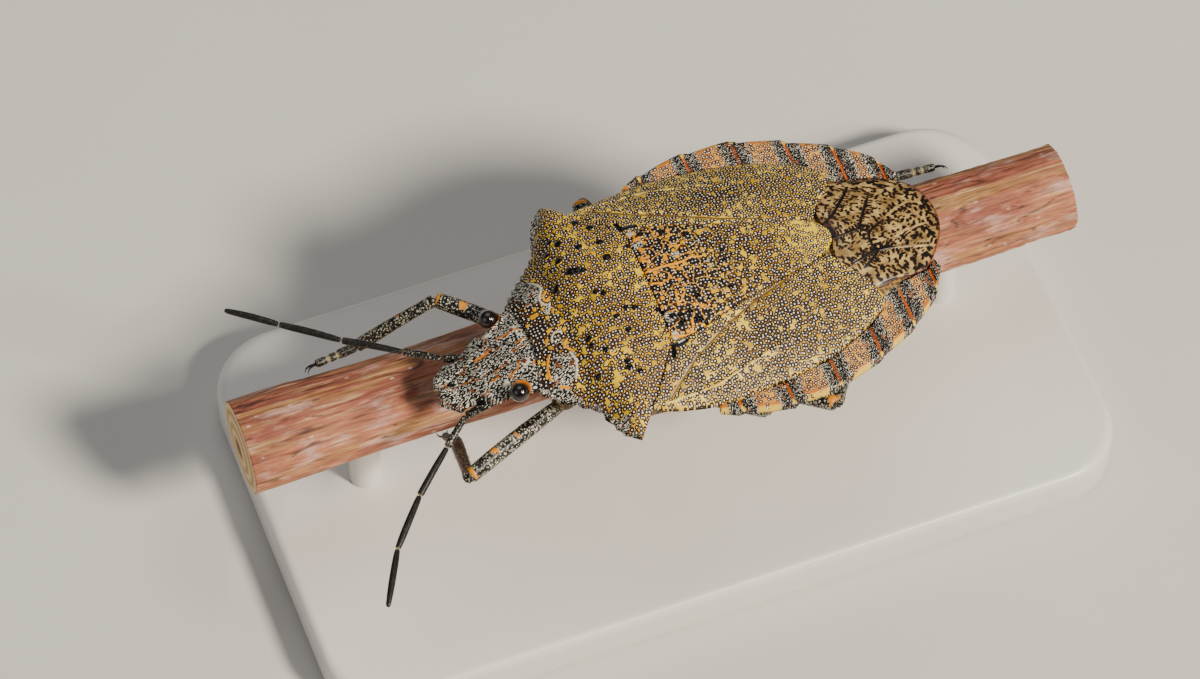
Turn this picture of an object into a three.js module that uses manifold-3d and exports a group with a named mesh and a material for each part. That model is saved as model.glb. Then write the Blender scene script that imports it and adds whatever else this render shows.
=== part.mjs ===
// A rough-backed shield bug, 16 mm long, gripping a cut twig that a plain display stand holds up.
// Millimetres, +Z up. The stand's underside is at z = 0 and the origin is at its centre.
import * as THREE from "three";
import { mergeVertices } from "three/addons/utils/BufferGeometryUtils.js";
import Module from "manifold-3d";

const wasm = await Module();
wasm.setup();

// The insect has a frame of its own: x runs from the head (-8) to the wing tips (+8), y to its
// right, and z = 0 is the height of the sharp side margin of its back.
const INSECT_AT = new THREE.Vector3(0.5, -1.0, 9.4);

// The gap that neighbouring solids keep, and the thickness of the hard plates of the back.
const GAP = 0.14;
const EYE_GAP = 0.06;
const PLATE = 0.46;

const EYE_RADIUS = 0.29;
const COXA_RADIUS = 0.4;
const KNEE_RADIUS = 0.27;
const FEMUR_RADII = [0.2, 0.25, 0.29, 0.29, KNEE_RADIUS];
const TIBIA_RADIUS = 0.25;
const TIBIA_RADII = [TIBIA_RADIUS, TIBIA_RADIUS];
const TARSUS_RADII = [0.24, 0.24, 0.24, 0.15];
const CLAW = { length: 0.42, spread: 0.55, radii: [0.11, 0.09, 0.04], sides: 6 };
const ANTENNA_RADII = [0.2, 0.25, 0.25, 0.2];
const ANTENNA_TIP_RADII = [0.2, 0.25, 0.25, 0.12];

// The twig runs along x under the insect's right side, swells a little and thickens at its butt.
const TWIG = { y: 1.85, z: -3.9, radius: 1.4, from: -14, to: 13, steps: 14, sides: 18 };
const TWIG_SWELL = { height: 0.03, rate: 0.9 };
const TWIG_BUTT = { from: -11, slope: 0.02 };

const BASE = { length: 26, width: 14, thickness: 1.6, corner: 2.2, bevel: 0.2, cornerSteps: 5 };
const ROD = { radius: 0.5, x: 9.6, sides: 14 };

// How finely each form is divided: cells across and along each plate, and sides of round forms.
const CELLS = {
  head: [24, 14],
  pronotum: [20, 20],
  scutellum: [10, 14],
  corium: [10, 16],
  membrane: [16, 8],
  thorax: [12, 12],
  abdomen: [12, 18],
};
const BALL_SIDES = 12;
const BALL_ROWS_PER_SIDE = 0.6;
const EYE_SIDES = 14;
const LIMB_SIDES = 8;
const MERGE_DISTANCE = 1e-4;

const COLOURS = {
  back: { color: 0xa88b4e, roughness: 0.72 },
  head: { color: 0x6d6a5c, roughness: 0.72 },
  underside: { color: 0xb59a6a, roughness: 0.6 },
  membrane: { color: 0x8a6c44, roughness: 0.4 },
  margin: { color: 0xc08a60, roughness: 0.6 },
  eye: { color: 0x2a1512, roughness: 0.15 },
  antenna: { color: 0x25221e, roughness: 0.5 },
  leg: { color: 0x4a443b, roughness: 0.6 },
  bark: { color: 0x9c6a58, roughness: 0.85 },
  stand: { color: 0xd9d7d2, roughness: 0.4 },
};

// Small helpers: profiles, curves and their mirror images.

const point = (x, y, z) => new THREE.Vector3(x, y, z);
const joints = (...places) => places.map((place) => point(...place));

// A smooth function through [position, value] pairs, level beyond both ends.
function profile(pairs) {
  const slope = (i) => {
    const before = pairs[Math.max(i - 1, 0)];
    const after = pairs[Math.min(i + 1, pairs.length - 1)];
    return (after[1] - before[1]) / (after[0] - before[0]);
  };
  return (x) => {
    if (x <= pairs[0][0]) return pairs[0][1];
    if (x >= pairs.at(-1)[0]) return pairs.at(-1)[1];
    const i = pairs.findIndex(([at]) => at > x) - 1;
    const width = pairs[i + 1][0] - pairs[i][0];
    const u = (x - pairs[i][0]) / width;
    const rise = u * u * (3 - 2 * u);
    const ease = u * (1 - u) * width;
    const ends = pairs[i][1] * (1 - rise) + pairs[i + 1][1] * rise;
    return ends + ease * ((1 - u) * slope(i) - u * slope(i + 1));
  };
}

// A smooth ridge or, with a negative height, a groove, at some distance from its line.
const ridge = (distance, { width, height }) => height * Math.exp(-((distance / width) ** 2));

// The same around a place on either side of the body: a lump or a dip.
const lump = (x, y, { at, ...form }) => ridge(Math.hypot(x - at[0], Math.abs(y) - at[1]), form);

const curve = (points) => new THREE.SplineCurve(points.map(([x, y]) => new THREE.Vector2(x, y)));
const mirror = (points) => points.map(([x, y]) => [x, -y]);
const backwards = (points) => [...points].reverse();
const acrossBody = (leftHalf) => [...leftHalf, ...backwards(mirror(leftHalf)).slice(1)];

// Four edges that bound a plate seen from above: front and rear run from the insect's left to
// its right, left and right run from front to rear.
function leftRightTurned({ front, rear, left, right }) {
  return {
    front: backwards(mirror(front)),
    rear: backwards(mirror(rear)),
    left: mirror(right),
    right: mirror(left),
  };
}

// The plan position inside four edges at s across and t along, drawn in by half a gap all round,
// but by no more than this share of the way across.
const MOST_DRAWN_IN = 0.3;

function patch(edges) {
  const front = curve(edges.front);
  const rear = curve(edges.rear);
  const left = curve(edges.left);
  const right = curve(edges.right);
  const blend = (a, b, u) => a * (1 - u) + b * u;
  return (across, along) => {
    const width = left.getPoint(along).distanceTo(right.getPoint(along));
    const length = front.getPoint(across).distanceTo(rear.getPoint(across));
    const inS = Math.min(GAP / 2 / width, MOST_DRAWN_IN);
    const inT = Math.min(GAP / 2 / length, MOST_DRAWN_IN);
    const s = blend(inS, 1 - inS, across);
    const t = blend(inT, 1 - inT, along);
    const at = (axis) => {
      const ends = blend(front.getPoint(s)[axis], rear.getPoint(s)[axis], t);
      const sides = blend(left.getPoint(t)[axis], right.getPoint(t)[axis], s);
      const fore = blend(front.getPoint(0)[axis], front.getPoint(1)[axis], s);
      const aft = blend(rear.getPoint(0)[axis], rear.getPoint(1)[axis], s);
      return ends + sides - blend(fore, aft, t);
    };
    return [at("x"), at("y")];
  };
}

// A closed plate: a box's grid laid over a patch, between an upper and a lower surface.
function slab(edges, [across, along], upper, lower) {
  const place = patch(edges);
  const geometry = new THREE.BoxGeometry(1, 1, 1, across, along, 1);
  const position = geometry.getAttribute("position");
  for (let i = 0; i < position.count; i++) {
    const s = 0.5 - position.getX(i);
    const t = position.getY(i) + 0.5;
    const [x, y] = place(s, t);
    const surface = position.getZ(i) > 0 ? upper : lower;
    position.setXYZ(i, x, y, surface(x, y, s, t));
  }
  return solid(geometry);
}

// A three.js geometry as a manifold-3d solid, and back again.
function solid(geometry) {
  geometry.deleteAttribute("normal");
  geometry.deleteAttribute("uv");
  const merged = mergeVertices(geometry, MERGE_DISTANCE);
  const vertProperties = merged.getAttribute("position").array;
  const triVerts = new Uint32Array(merged.index.array);
  return new wasm.Manifold(new wasm.Mesh({ numProp: 3, vertProperties, triVerts }));
}

function largest(body) {
  return body.decompose().sort((a, b) => b.volume() - a.volume())[0];
}

function node(name, body, look) {
  const made = largest(body).getMesh();
  const geometry = new THREE.BufferGeometry();
  geometry.setAttribute("position", new THREE.BufferAttribute(made.vertProperties, 3));
  geometry.setIndex(new THREE.BufferAttribute(made.triVerts, 1));
  geometry.computeVertexNormals();
  const material = new THREE.MeshStandardMaterial({ ...look, metalness: 0 });
  const mesh = new THREE.Mesh(geometry, material);
  mesh.name = name;
  return mesh;
}

function ball(centre, radius, sides = BALL_SIDES) {
  const geometry = new THREE.SphereGeometry(radius, sides, Math.round(sides * BALL_ROWS_PER_SIDE));
  geometry.translate(centre.x, centre.y, centre.z);
  return solid(geometry);
}

// A round limb piece with domed ends, its radii spread evenly from one end to the other.
function limb(from, to, radii, sides = LIMB_SIDES) {
  const length = from.distanceTo(to);
  const slant = Math.SQRT1_2;
  const first = radii[0];
  const last = radii.at(-1);
  const outline = [new THREE.Vector2(0, -first), new THREE.Vector2(first * slant, -first * slant)];
  radii.forEach((r, i) => outline.push(new THREE.Vector2(r, (length * i) / (radii.length - 1))));
  outline.push(new THREE.Vector2(last * slant, length + last * slant));
  outline.push(new THREE.Vector2(0, length + last));
  const geometry = new THREE.LatheGeometry(outline, sides);
  const direction = to.clone().sub(from).normalize();
  const turn = new THREE.Quaternion().setFromUnitVectors(point(0, 1, 0), direction);
  geometry.applyQuaternion(turn);
  geometry.translate(from.x, from.y, from.z);
  return solid(geometry);
}

// Limb pieces end to end as one body, each with its own list of radii.
function chain(places, radii, extra = 0) {
  const pieces = radii.map((list, i) => limb(places[i], places[i + 1], list.map((r) => r + extra)));
  return pieces.reduce((body, piece) => body.add(piece));
}

// The back: its height along the middle, at the margins, and the half width between them.
const midline = profile([
  [-5.55, 0.1], [-4.5, 0.6], [-3.5, 1.05], [-2.5, 1.28], [-1.5, 1.34],
  [0, 1.3], [1.5, 1.16], [3, 1.0], [4.4, 0.82], [6, 0.5], [7, 0.28], [7.95, 0.05],
]);
const marginHeight = profile([[-5.5, -0.3], [-4.6, -0.12], [-3.3, 0.16], [-1, 0.1], [5, 0.08], [8, -0.02]]);
const backHalfWidth = profile([
  [-5.6, 1.62], [-5, 2.1], [-4.4, 2.62], [-3.9, 3.4], [-3.3, 4.3],
  [-2.4, 4.05], [-1.2, 4.05], [0, 4.12], [2, 3.95], [4, 3.5], [5.2, 2.9], [6.5, 2.3], [8, 1.9],
]);
const BACK_FLATNESS = 2.3;

function back(x, y) {
  const out = Math.min(Math.abs(y) / backHalfWidth(x), 1);
  const edge = marginHeight(x);
  return edge + (midline(x) - edge) * (1 - out ** BACK_FLATNESS);
}

const underBack = (x, y) => back(x, y) - PLATE;
const belowPlates = (x, y) => back(x, y) - PLATE - GAP;

// The underside: its height along the middle and at the margins.
const bellyMidline = profile([[-5.4, -1.35], [-4, -1.62], [-1, -1.8], [2, -1.7], [5, -1.4], [7.2, -0.95]]);
const BELLY_MARGIN = -0.78;
const bodyHalfWidth = profile([
  [-5.5, 1.5], [-4.4, 2.5], [-3.5, 3.4], [-2, 3.7], [-0.4, 3.9],
  [1, 4.45], [2.5, 4.55], [4.4, 4.0], [6, 3.15], [7, 2.2], [7.4, 1.8],
]);

function belly(x, y) {
  const out = Math.min(Math.abs(y) / bodyHalfWidth(x), 1);
  return BELLY_MARGIN + (bellyMidline(x) - BELLY_MARGIN) * (1 - out * out);
}

// Edges that neighbouring plates share, each on the insect's left side.
const NECK = [[-5.55, -1.5], [-5.34, -0.85], [-5.26, 0]];
const SHOULDER = [
  [-5.55, -1.5], [-5.1, -1.98], [-4.55, -2.45], [-4.12, -2.9], [-3.9, -3.5], [-3.66, -4.02], [-3.32, -4.38],
];
const WING_ROOT = [[-2.72, -3.66], [-2.25, -3.08], [-1.78, -2.42], [-1.53, -2.05]];
const SCUTELLUM_BASE = [[-1.53, -2.05], [-1.48, -1.0], [-1.48, 0]];
const SCUTELLUM_SIDE = [
  [-1.53, -2.05], [-0.6, -1.98], [0.5, -1.62], [1.6, -1.29], [2.8, -0.98], [3.7, -0.74],
];
const WING_SIDE = [
  [-2.72, -3.66], [-2.2, -3.84], [-1.5, -3.97], [-0.3, -4.12], [0.8, -4.04], [1.9, -3.93],
  [2.9, -3.72], [3.8, -3.4], [4.6, -3.0], [5.2, -2.55],
];
const WAIST_X = -0.45;
const WAIST_HALF_WIDTH = 3.85;

// Head: two long lobes beside the snout plate, a notch between them and a tooth at each side in
// front, eyes at the sides. Its front points a few degrees to the right.
const HEAD_TURN = { from: -6.3, slope: 0.12 };
const turnedBy = (x) => HEAD_TURN.slope * Math.max(0, HEAD_TURN.from - x);
const turned = (points) => points.map(([x, y]) => [x, y + turnedBy(x)]);
const HEAD_LOBE = [
  [-7.72, -0.9], [-7.86, -0.74], [-8.02, -0.6], [-8.2, -0.42], [-8.22, -0.22], [-8.06, -0.07],
  [-7.78, 0],
];
const HEAD_SIDE = [
  [-7.72, -0.9], [-7.45, -0.75], [-7.2, -0.84], [-7.0, -0.93], [-6.75, -1.15], [-6.55, -1.17],
  [-6.3, -1.06], [-5.95, -1.4], [-5.55, -1.5],
];
const HEAD_EDGES = {
  front: turned(acrossBody(HEAD_LOBE)),
  rear: acrossBody(NECK),
  left: turned(HEAD_SIDE),
  right: turned(mirror(HEAD_SIDE)),
};
const headMidline = profile([
  [-8.2, -1.3], [-7.6, -1.08], [-7, -0.72], [-6.4, -0.32], [-6, -0.1], [-5.5, 0.1],
]);
const headHalfWidth = profile([
  [-8.2, 0.62], [-7.7, 0.9], [-7.2, 1.02], [-6.7, 1.24], [-6, 1.42], [-5.5, 1.5],
]);
const headUnderside = profile([[-8.2, -1.7], [-7.4, -1.78], [-6.4, -1.72], [-5.4, -1.5]]);
const HEAD_FLATNESS = 2.2;
const HEAD_MARGIN_DROP = 0.3;
const HEAD_MARGIN_THICKNESS = 0.42;
const SNOUT_HALF_WIDTH = 0.3;
const SNOUT_GROOVE = { width: 0.08, height: -0.07 };
const EYE_CENTRE = point(-6.1, 1.38, -0.27);

const fromHeadMiddle = (x, y) => Math.abs(y - turnedBy(x));
const outOnHead = (x, y) => Math.min(fromHeadMiddle(x, y) / headHalfWidth(x), 1);

function headTop(x, y) {
  const groove = ridge(fromHeadMiddle(x, y) - SNOUT_HALF_WIDTH, SNOUT_GROOVE);
  return headMidline(x) - HEAD_MARGIN_DROP * outOnHead(x, y) ** HEAD_FLATNESS + groove;
}

function headBottom(x, y) {
  const edge = headMidline(x) - HEAD_MARGIN_DROP - HEAD_MARGIN_THICKNESS;
  const middle = Math.min(headUnderside(x), edge);
  return edge + (middle - edge) * (1 - outOnHead(x, y) ** 2);
}

// Antennae: the joints of each from its socket below the head's side lobe to its tip.
const ANTENNAE = {
  left: joints(
    [-6.7, -0.8, -1.32], [-7.65, -0.83, -1.6], [-8.51, -1.53, -1.85],
    [-9.8, -2.68, -2.1], [-11.0, -4.05, -2.35], [-11.9, -5.7, -2.6],
  ),
  right: joints(
    [-6.7, 0.8, -1.32], [-7.68, 1.15, -1.3], [-8.74, 1.75, -1.2],
    [-10.36, 2.7, -1.05], [-11.96, 3.84, -0.95], [-13.36, 4.84, -0.85],
  ),
};

function antenna(places, extra = 0) {
  const radii = places.slice(2).map(() => ANTENNA_RADII);
  return chain(places, [...radii, ANTENNA_TIP_RADII], extra);
}

// The beak, folded back under the head and thorax, in three pieces.
const BEAK_JOINTS = joints([-7.45, 0, -2.2], [-6.2, 0, -2.28], [-4.2, 0, -2.1], [-2.8, 0, -2.18]);
const BEAK_RADII = [[0.22, 0.26, 0.26], [0.26, 0.25, 0.24], [0.24, 0.22, 0.12]];

function headNodes() {
  let head = slab(HEAD_EDGES, CELLS.head, headTop, headBottom);
  const nodes = [];
  for (const [side, sign] of [["left", -1], ["right", 1]]) {
    const centre = point(EYE_CENTRE.x, sign * EYE_CENTRE.y, EYE_CENTRE.z);
    head = head.subtract(ball(centre, EYE_RADIUS + EYE_GAP, EYE_SIDES));
    head = head.subtract(antenna(ANTENNAE[side].slice(0, 3), GAP));
    nodes.push(node("eye_" + side, ball(centre, EYE_RADIUS, EYE_SIDES), COLOURS.eye));
    nodes.push(node("antenna_" + side, antenna(ANTENNAE[side]), COLOURS.antenna));
  }
  nodes.push(node("head", head, COLOURS.head));
  nodes.push(node("rostrum", chain(BEAK_JOINTS, BEAK_RADII), COLOURS.antenna));
  return nodes;
}

// Pronotum: the shield behind the head, with toothed shoulder margins.
const SHOULDER_TOOTH = 0.09;
const SMOOTH_ROWS_BEHIND = 4;
const COLLAR = { at: [-5.3, 0.5], width: 0.35, height: 0.05 };
const CALLUS = { at: [-4.75, 0.85], width: 0.35, height: 0.09 };
const HUMP = { at: [-3.5, 1.25], width: 0.6, height: 0.08 };
const SHOULDER_KNOB = { at: [-3.4, 3.7], width: 0.45, height: 0.1 };
const CROSS_FURROW_X = -4.25;
const CROSS_FURROW = { width: 0.22, height: -0.06 };
const PRONOTUM_EDGES = {
  front: acrossBody(NECK),
  rear: acrossBody([[-3.32, -4.38], ...WING_ROOT, ...SCUTELLUM_BASE.slice(1)]),
  left: SHOULDER,
  right: mirror(SHOULDER),
};

// The furrow across it fades out towards the shoulders, and the knob towards the wing root.
function pronotumTop(x, y, s, t) {
  const lumps = lump(x, y, COLLAR) + lump(x, y, CALLUS) + lump(x, y, HUMP);
  const furrow = ridge(x - CROSS_FURROW_X, CROSS_FURROW) * (1 - Math.abs(2 * s - 1) ** 3);
  return back(x, y) + lumps + furrow + lump(x, y, SHOULDER_KNOB) * (1 - t / 2);
}

// Every second row of the shoulder margin stands out as a small tooth.
function toothed(edges) {
  const side = curve(edges.left);
  const last = CELLS.pronotum[1];
  const rows = [];
  for (let row = 0; row <= last; row++) {
    const at = side.getPoint(row / last);
    const onTooth = row % 2 === 1 && row > 1 && row < last - SMOOTH_ROWS_BEHIND;
    rows.push([at.x - (onTooth ? SHOULDER_TOOTH : 0), at.y - (onTooth ? SHOULDER_TOOTH : 0)]);
  }
  return { ...edges, left: rows, right: mirror(rows) };
}

// Scutellum: the long triangle between the wings.
const SCUTELLUM_EDGES = {
  front: acrossBody(SCUTELLUM_BASE),
  rear: acrossBody([[4.16, -0.46], [4.36, -0.25], [4.42, 0]]),
  left: [...SCUTELLUM_SIDE, [4.16, -0.46]],
  right: mirror([...SCUTELLUM_SIDE, [4.16, -0.46]]),
};

const SCUTELLUM_LUMP = { at: [-0.9, 0.7], width: 0.55, height: 0.06 };
const CORNER_PIT = { at: [-1.25, 1.72], width: 0.2, height: -0.12 };
const KEEL = { width: 0.3, height: 0.05 };
const KEEL_FROM = 1;
const KEEL_LENGTH = 3;

function scutellumTop(x, y) {
  const keel = ridge(y, KEEL) * Math.max(0, (x - KEEL_FROM) / KEEL_LENGTH);
  return back(x, y) + lump(x, y, SCUTELLUM_LUMP) + lump(x, y, CORNER_PIT) + keel;
}

// Leathery part of a folded forewing, with its furrow and its main vein.
const CORIUM_EDGES = {
  front: WING_ROOT,
  rear: [[5.2, -2.55], [5.22, -2.2], [4.92, -1.68], [4.42, -1.12], [4.14, -0.7]],
  left: WING_SIDE,
  right: [...SCUTELLUM_SIDE, [4.14, -0.7]],
};
const CLAVAL_FURROW_AT = 0.74;
const CLAVAL_FURROW = { width: 0.05, height: -0.07 };
const MAIN_VEIN_AT = 0.45;
const MAIN_VEIN = { width: 0.06, height: 0.06 };

function coriumTop(fromOuter) {
  return (x, y, s) => {
    const furrow = ridge(fromOuter(s) - CLAVAL_FURROW_AT, CLAVAL_FURROW);
    return back(x, y) + furrow + ridge(fromOuter(s) - MAIN_VEIN_AT, MAIN_VEIN);
  };
}

// Wing membrane, sunk a little below the plates around it and not quite alike on both sides. Its
// veins are every second grid line, raised in its own surface.
const MEMBRANE_SUNK = 0.08;
const VEIN_HEIGHT = 0.07;
const VEIN_END = 0.05;
const MEMBRANE_EDGES = {
  front: acrossBody([[5.36, -2.4], [5.05, -1.72], [4.52, -1.12], [4.44, -0.62], [4.58, 0]]),
  rear: [
    [6.3, -1.88], [6.85, -1.76], [7.24, -1.43], [7.74, -0.72], [7.93, -0.1],
    [7.91, 0.48], [7.72, 0.96], [7.36, 1.3], [6.5, 1.78],
  ],
  left: [[5.36, -2.4], [5.8, -2.02], [6.3, -1.88]],
  right: [[5.36, 2.4], [5.8, 2.02], [6.5, 1.78]],
};

function membraneTop(x, y, s, t) {
  const onVein = Math.round(s * CELLS.membrane[0]) % 2 === 1;
  const raised = onVein && t > VEIN_END && t < 1 - VEIN_END;
  return back(x, y) - MEMBRANE_SUNK + (raised ? VEIN_HEIGHT : 0);
}

function backNodes() {
  const rightCorium = leftRightTurned(CORIUM_EDGES);
  const leftTop = coriumTop((s) => s);
  const rightTop = coriumTop((s) => 1 - s);
  const pronotum = slab(toothed(PRONOTUM_EDGES), CELLS.pronotum, pronotumTop, underBack);
  const membrane = slab(MEMBRANE_EDGES, CELLS.membrane, membraneTop, underBack);
  return [
    node("pronotum", pronotum, COLOURS.back),
    node("scutellum", slab(SCUTELLUM_EDGES, CELLS.scutellum, scutellumTop, underBack), COLOURS.back),
    node("forewing_left_corium", slab(CORIUM_EDGES, CELLS.corium, leftTop, underBack), COLOURS.back),
    node("forewing_right_corium", slab(rightCorium, CELLS.corium, rightTop, underBack), COLOURS.back),
    node("forewing_membrane", membrane, COLOURS.membrane),
  ];
}

// Connexivum: the flat margin of the abdomen that shows beside the wings, in six segments, each
// with a pointed rear corner.
const CONNEXIVUM_OUTER = profile([
  [-0.75, 4.2], [0.1, 4.5], [0.8, 4.66], [1.8, 4.71], [2.7, 4.66], [3.5, 4.46],
  [4.4, 4.12], [5.2, 3.75], [6, 3.28], [6.6, 2.82], [7.0, 2.36], [7.34, 1.75],
]);
const CONNEXIVUM_FROM = -0.75;
const CONNEXIVUM_TO = 7.34;
const SUTURES = [-0.1, 1.42, 2.97, 4.5, 5.82, 6.95];
const SUTURE_TOOTH = 0.1;
const TOOTH_BEFORE_SUTURE = 0.12;
const SUTURE_DEPTH = 0.06;
const OUTER_CREST = -0.02;
const INNER_CREST = 0.04;
const CELLS_PER_SEGMENT = 4;
const CELLS_AT_THE_ENDS = 2;
const CELLS_ACROSS_MARGIN = 3;
const CONNEXIVUM_INNER = [
  [CONNEXIVUM_FROM, -4.08], [0.8, -4.04], [1.9, -3.93], [2.9, -3.72], [3.8, -3.4], [4.6, -3.0],
  [5.24, -2.5], [5.8, -2.04], [6.4, -1.9], [6.9, -1.78], [7.22, -1.45],
];

// The stations along the margin: each suture, the tooth just before it, and places between.
function marginStations() {
  const stops = [CONNEXIVUM_FROM, ...SUTURES, CONNEXIVUM_TO];
  const stations = [];
  for (let i = 0; i + 1 < stops.length; i++) {
    const cells = i === 0 || i + 2 === stops.length ? CELLS_AT_THE_ENDS : CELLS_PER_SEGMENT;
    const step = (stops[i + 1] - stops[i]) / cells;
    for (let cell = 0; cell < cells; cell++) {
      stations.push({ x: stops[i] + step * cell, suture: cell === 0 && i > 0, tooth: false });
    }
    const toothAt = stops[i + 1] - TOOTH_BEFORE_SUTURE;
    stations.push({ x: toothAt, suture: false, tooth: i + 2 < stops.length });
  }
  stations.push({ x: CONNEXIVUM_TO, suture: false, tooth: false });
  return stations;
}

function connexivum(side) {
  const stations = marginStations();
  const rows = stations.length - 1;
  const inner = curve(CONNEXIVUM_INNER);
  const geometry = new THREE.BoxGeometry(1, 1, 1, CELLS_ACROSS_MARGIN, rows, 1);
  const position = geometry.getAttribute("position");
  for (let i = 0; i < position.count; i++) {
    const fromOuter = 0.5 - position.getX(i);
    const row = Math.round((position.getY(i) + 0.5) * rows);
    const { x, suture, tooth } = stations[row];
    const along = (x - CONNEXIVUM_FROM) / (CONNEXIVUM_TO - CONNEXIVUM_FROM);
    const outerY = -CONNEXIVUM_OUTER(x) - (tooth ? SUTURE_TOOTH : 0);
    const near = nearestOnInner(inner, x);
    const innerY = near.y - GAP;
    const innerX = Math.min(x, near.x) + (GAP / 2) * along;
    const px = THREE.MathUtils.lerp(x, innerX, fromOuter);
    const py = THREE.MathUtils.lerp(outerY, innerY, fromOuter);
    const crest = THREE.MathUtils.lerp(OUTER_CREST, INNER_CREST, fromOuter);
    const top = crest - (suture ? SUTURE_DEPTH : 0);
    position.setXYZ(i, px, py, position.getZ(i) > 0 ? top : -PLATE);
  }
  const body = solid(geometry);
  return side === "left" ? body : body.mirror([0, 1, 0]);
}

// The place on the inner edge at one x, found by halving.
const HALVINGS = 30;

function nearestOnInner(inner, x) {
  let low = 0;
  let high = 1;
  for (let step = 0; step < HALVINGS; step++) {
    const middle = (low + high) / 2;
    if (inner.getPoint(middle).x < x) low = middle;
    else high = middle;
  }
  return inner.getPoint(low);
}

// Thorax with its coxae, and the abdomen, both under the plates of the back.
const THORAX_SIDE = [
  [-5.5, -1.42], [-4.9, -1.95], [-4.2, -2.5], [-3.4, -3.4], [-2.2, -3.6], [WAIST_X, -WAIST_HALF_WIDTH],
];
const THORAX_EDGES = {
  front: acrossBody([[-5.5, -1.42], ...NECK.slice(1)]),
  rear: [[WAIST_X, -WAIST_HALF_WIDTH], [WAIST_X, 0], [WAIST_X, WAIST_HALF_WIDTH]],
  left: THORAX_SIDE,
  right: mirror(THORAX_SIDE),
};
const ABDOMEN_SIDE = [
  [WAIST_X, -WAIST_HALF_WIDTH], [0.4, -4.25], [1.8, -4.52], [3, -4.4], [4.4, -3.95], [5.6, -3.32],
  [6.5, -2.68], [7.0, -2.1],
];
const ABDOMEN_EDGES = {
  front: THORAX_EDGES.rear,
  rear: acrossBody([[7.0, -2.1], [7.22, -1.2], [7.3, 0]]),
  left: ABDOMEN_SIDE,
  right: mirror(ABDOMEN_SIDE),
};
const SEGMENT_GROOVE = { width: 0.12, height: 0.05 };

function abdomenBottom(x, y) {
  const near = Math.min(...SUTURES.map((at) => Math.abs(x - at)));
  return belly(x, y) + ridge(near, SEGMENT_GROOVE);
}

// Under the margin the abdomen stays below the connexivum's flat underside.
function abdomenTop(x, y) {
  return Math.min(belowPlates(x, y), back(x, y) - marginHeight(x) - PLATE - GAP);
}

// Legs: each from its coxa to the knee, the ankle and the toe on the twig.
const LEGS = {
  front_left: joints([-4.6, -1.2, -1.92], [-8.21, -2.65, -2.0], [-7.65, 0.2, -4.66], [-7.7, 1.11, -5.74]),
  front_right: joints([-4.6, 1.2, -1.92], [-7.07, 3.46, -1.7], [-9.73, 3.31, -2.7], [-11.1, 3.16, -2.72]),
  mid_left: joints([-2.4, -1.25, -2.0], [1.07, -3.64, -2.0], [0.5, -0.05, -3.9], [0.3, 0.45, -5.08]),
  mid_right: joints([-2.4, 1.25, -2.0], [-1.85, 4.95, -1.2], [0.4, 3.73, -4.14], [0.8, 3.04, -5.36]),
  hind_left: joints([-0.95, -1.3, -2.05], [2.93, -4.47, -1.4], [5.6, -0.33, -3.28], [6.36, 0.3, -4.62]),
  hind_right: joints([-0.95, 1.3, -2.0], [3.2, 3.6, -2.0], [7.96, 3.35, -2.8], [9.32, 3.28, -2.85]),
};

// Each coxa stands out from the thorax, from a root a little further in and above.
const COXA_ROOT = { inward: 0.85, above: 0.7 };

function trunkNodes() {
  let thorax = slab(THORAX_EDGES, CELLS.thorax, belowPlates, belly);
  for (const [hip] of Object.values(LEGS)) {
    const root = point(hip.x, hip.y * COXA_ROOT.inward, hip.z + COXA_ROOT.above);
    thorax = thorax.add(limb(root, hip, [COXA_RADIUS, COXA_RADIUS]));
  }
  const abdomen = slab(ABDOMEN_EDGES, CELLS.abdomen, abdomenTop, abdomenBottom);
  return [
    node("thorax", thorax, COLOURS.underside),
    node("abdomen", abdomen, COLOURS.underside),
    node("connexivum_left", connexivum("left"), COLOURS.margin),
    node("connexivum_right", connexivum("right"), COLOURS.margin),
  ];
}

// Two claws that spread from the toe, side by side on the twig.
function claws(ankle, toe) {
  const ahead = toe.clone().sub(ankle).setLength(CLAW.length);
  const towardsTwig = point(0, TWIG.y - toe.y, TWIG.z - toe.z).normalize();
  const side = towardsTwig.cross(ahead).multiplyScalar(CLAW.spread);
  const left = limb(toe, toe.clone().add(ahead).sub(side), CLAW.radii, CLAW.sides);
  const right = limb(toe, toe.clone().add(ahead).add(side), CLAW.radii, CLAW.sides);
  return left.add(right);
}

function legNodes() {
  const nodes = [];
  for (const [name, [hip, knee, ankle, toe]] of Object.entries(LEGS)) {
    const femur = limb(hip, knee, FEMUR_RADII).subtract(ball(hip, COXA_RADIUS + GAP));
    const tibia = limb(knee, ankle, TIBIA_RADII).subtract(ball(knee, KNEE_RADIUS + GAP));
    const foot = limb(ankle, toe, TARSUS_RADII).add(claws(ankle, toe));
    const tarsus = foot.subtract(ball(ankle, TIBIA_RADIUS + GAP));
    nodes.push(node("leg_" + name + "_femur", femur, COLOURS.leg));
    nodes.push(node("leg_" + name + "_tibia", tibia, COLOURS.leg));
    nodes.push(node("leg_" + name + "_tarsus", tarsus, COLOURS.leg));
  }
  return nodes;
}

// Twig: a round length cut square at both ends.
function twig(extra = 0) {
  const outline = [new THREE.Vector2(0, TWIG.from - extra)];
  for (let i = 0; i <= TWIG.steps; i++) {
    const x = THREE.MathUtils.lerp(TWIG.from - extra, TWIG.to + extra, i / TWIG.steps);
    const swell = TWIG_SWELL.height * Math.sin(x * TWIG_SWELL.rate);
    const butt = TWIG_BUTT.slope * Math.max(0, TWIG_BUTT.from - x);
    outline.push(new THREE.Vector2(TWIG.radius + swell + butt + extra, x));
  }
  outline.push(new THREE.Vector2(0, TWIG.to + extra));
  const geometry = new THREE.LatheGeometry(outline, TWIG.sides);
  geometry.rotateZ(-Math.PI / 2);
  geometry.translate(0, TWIG.y, TWIG.z);
  return solid(geometry);
}

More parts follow.
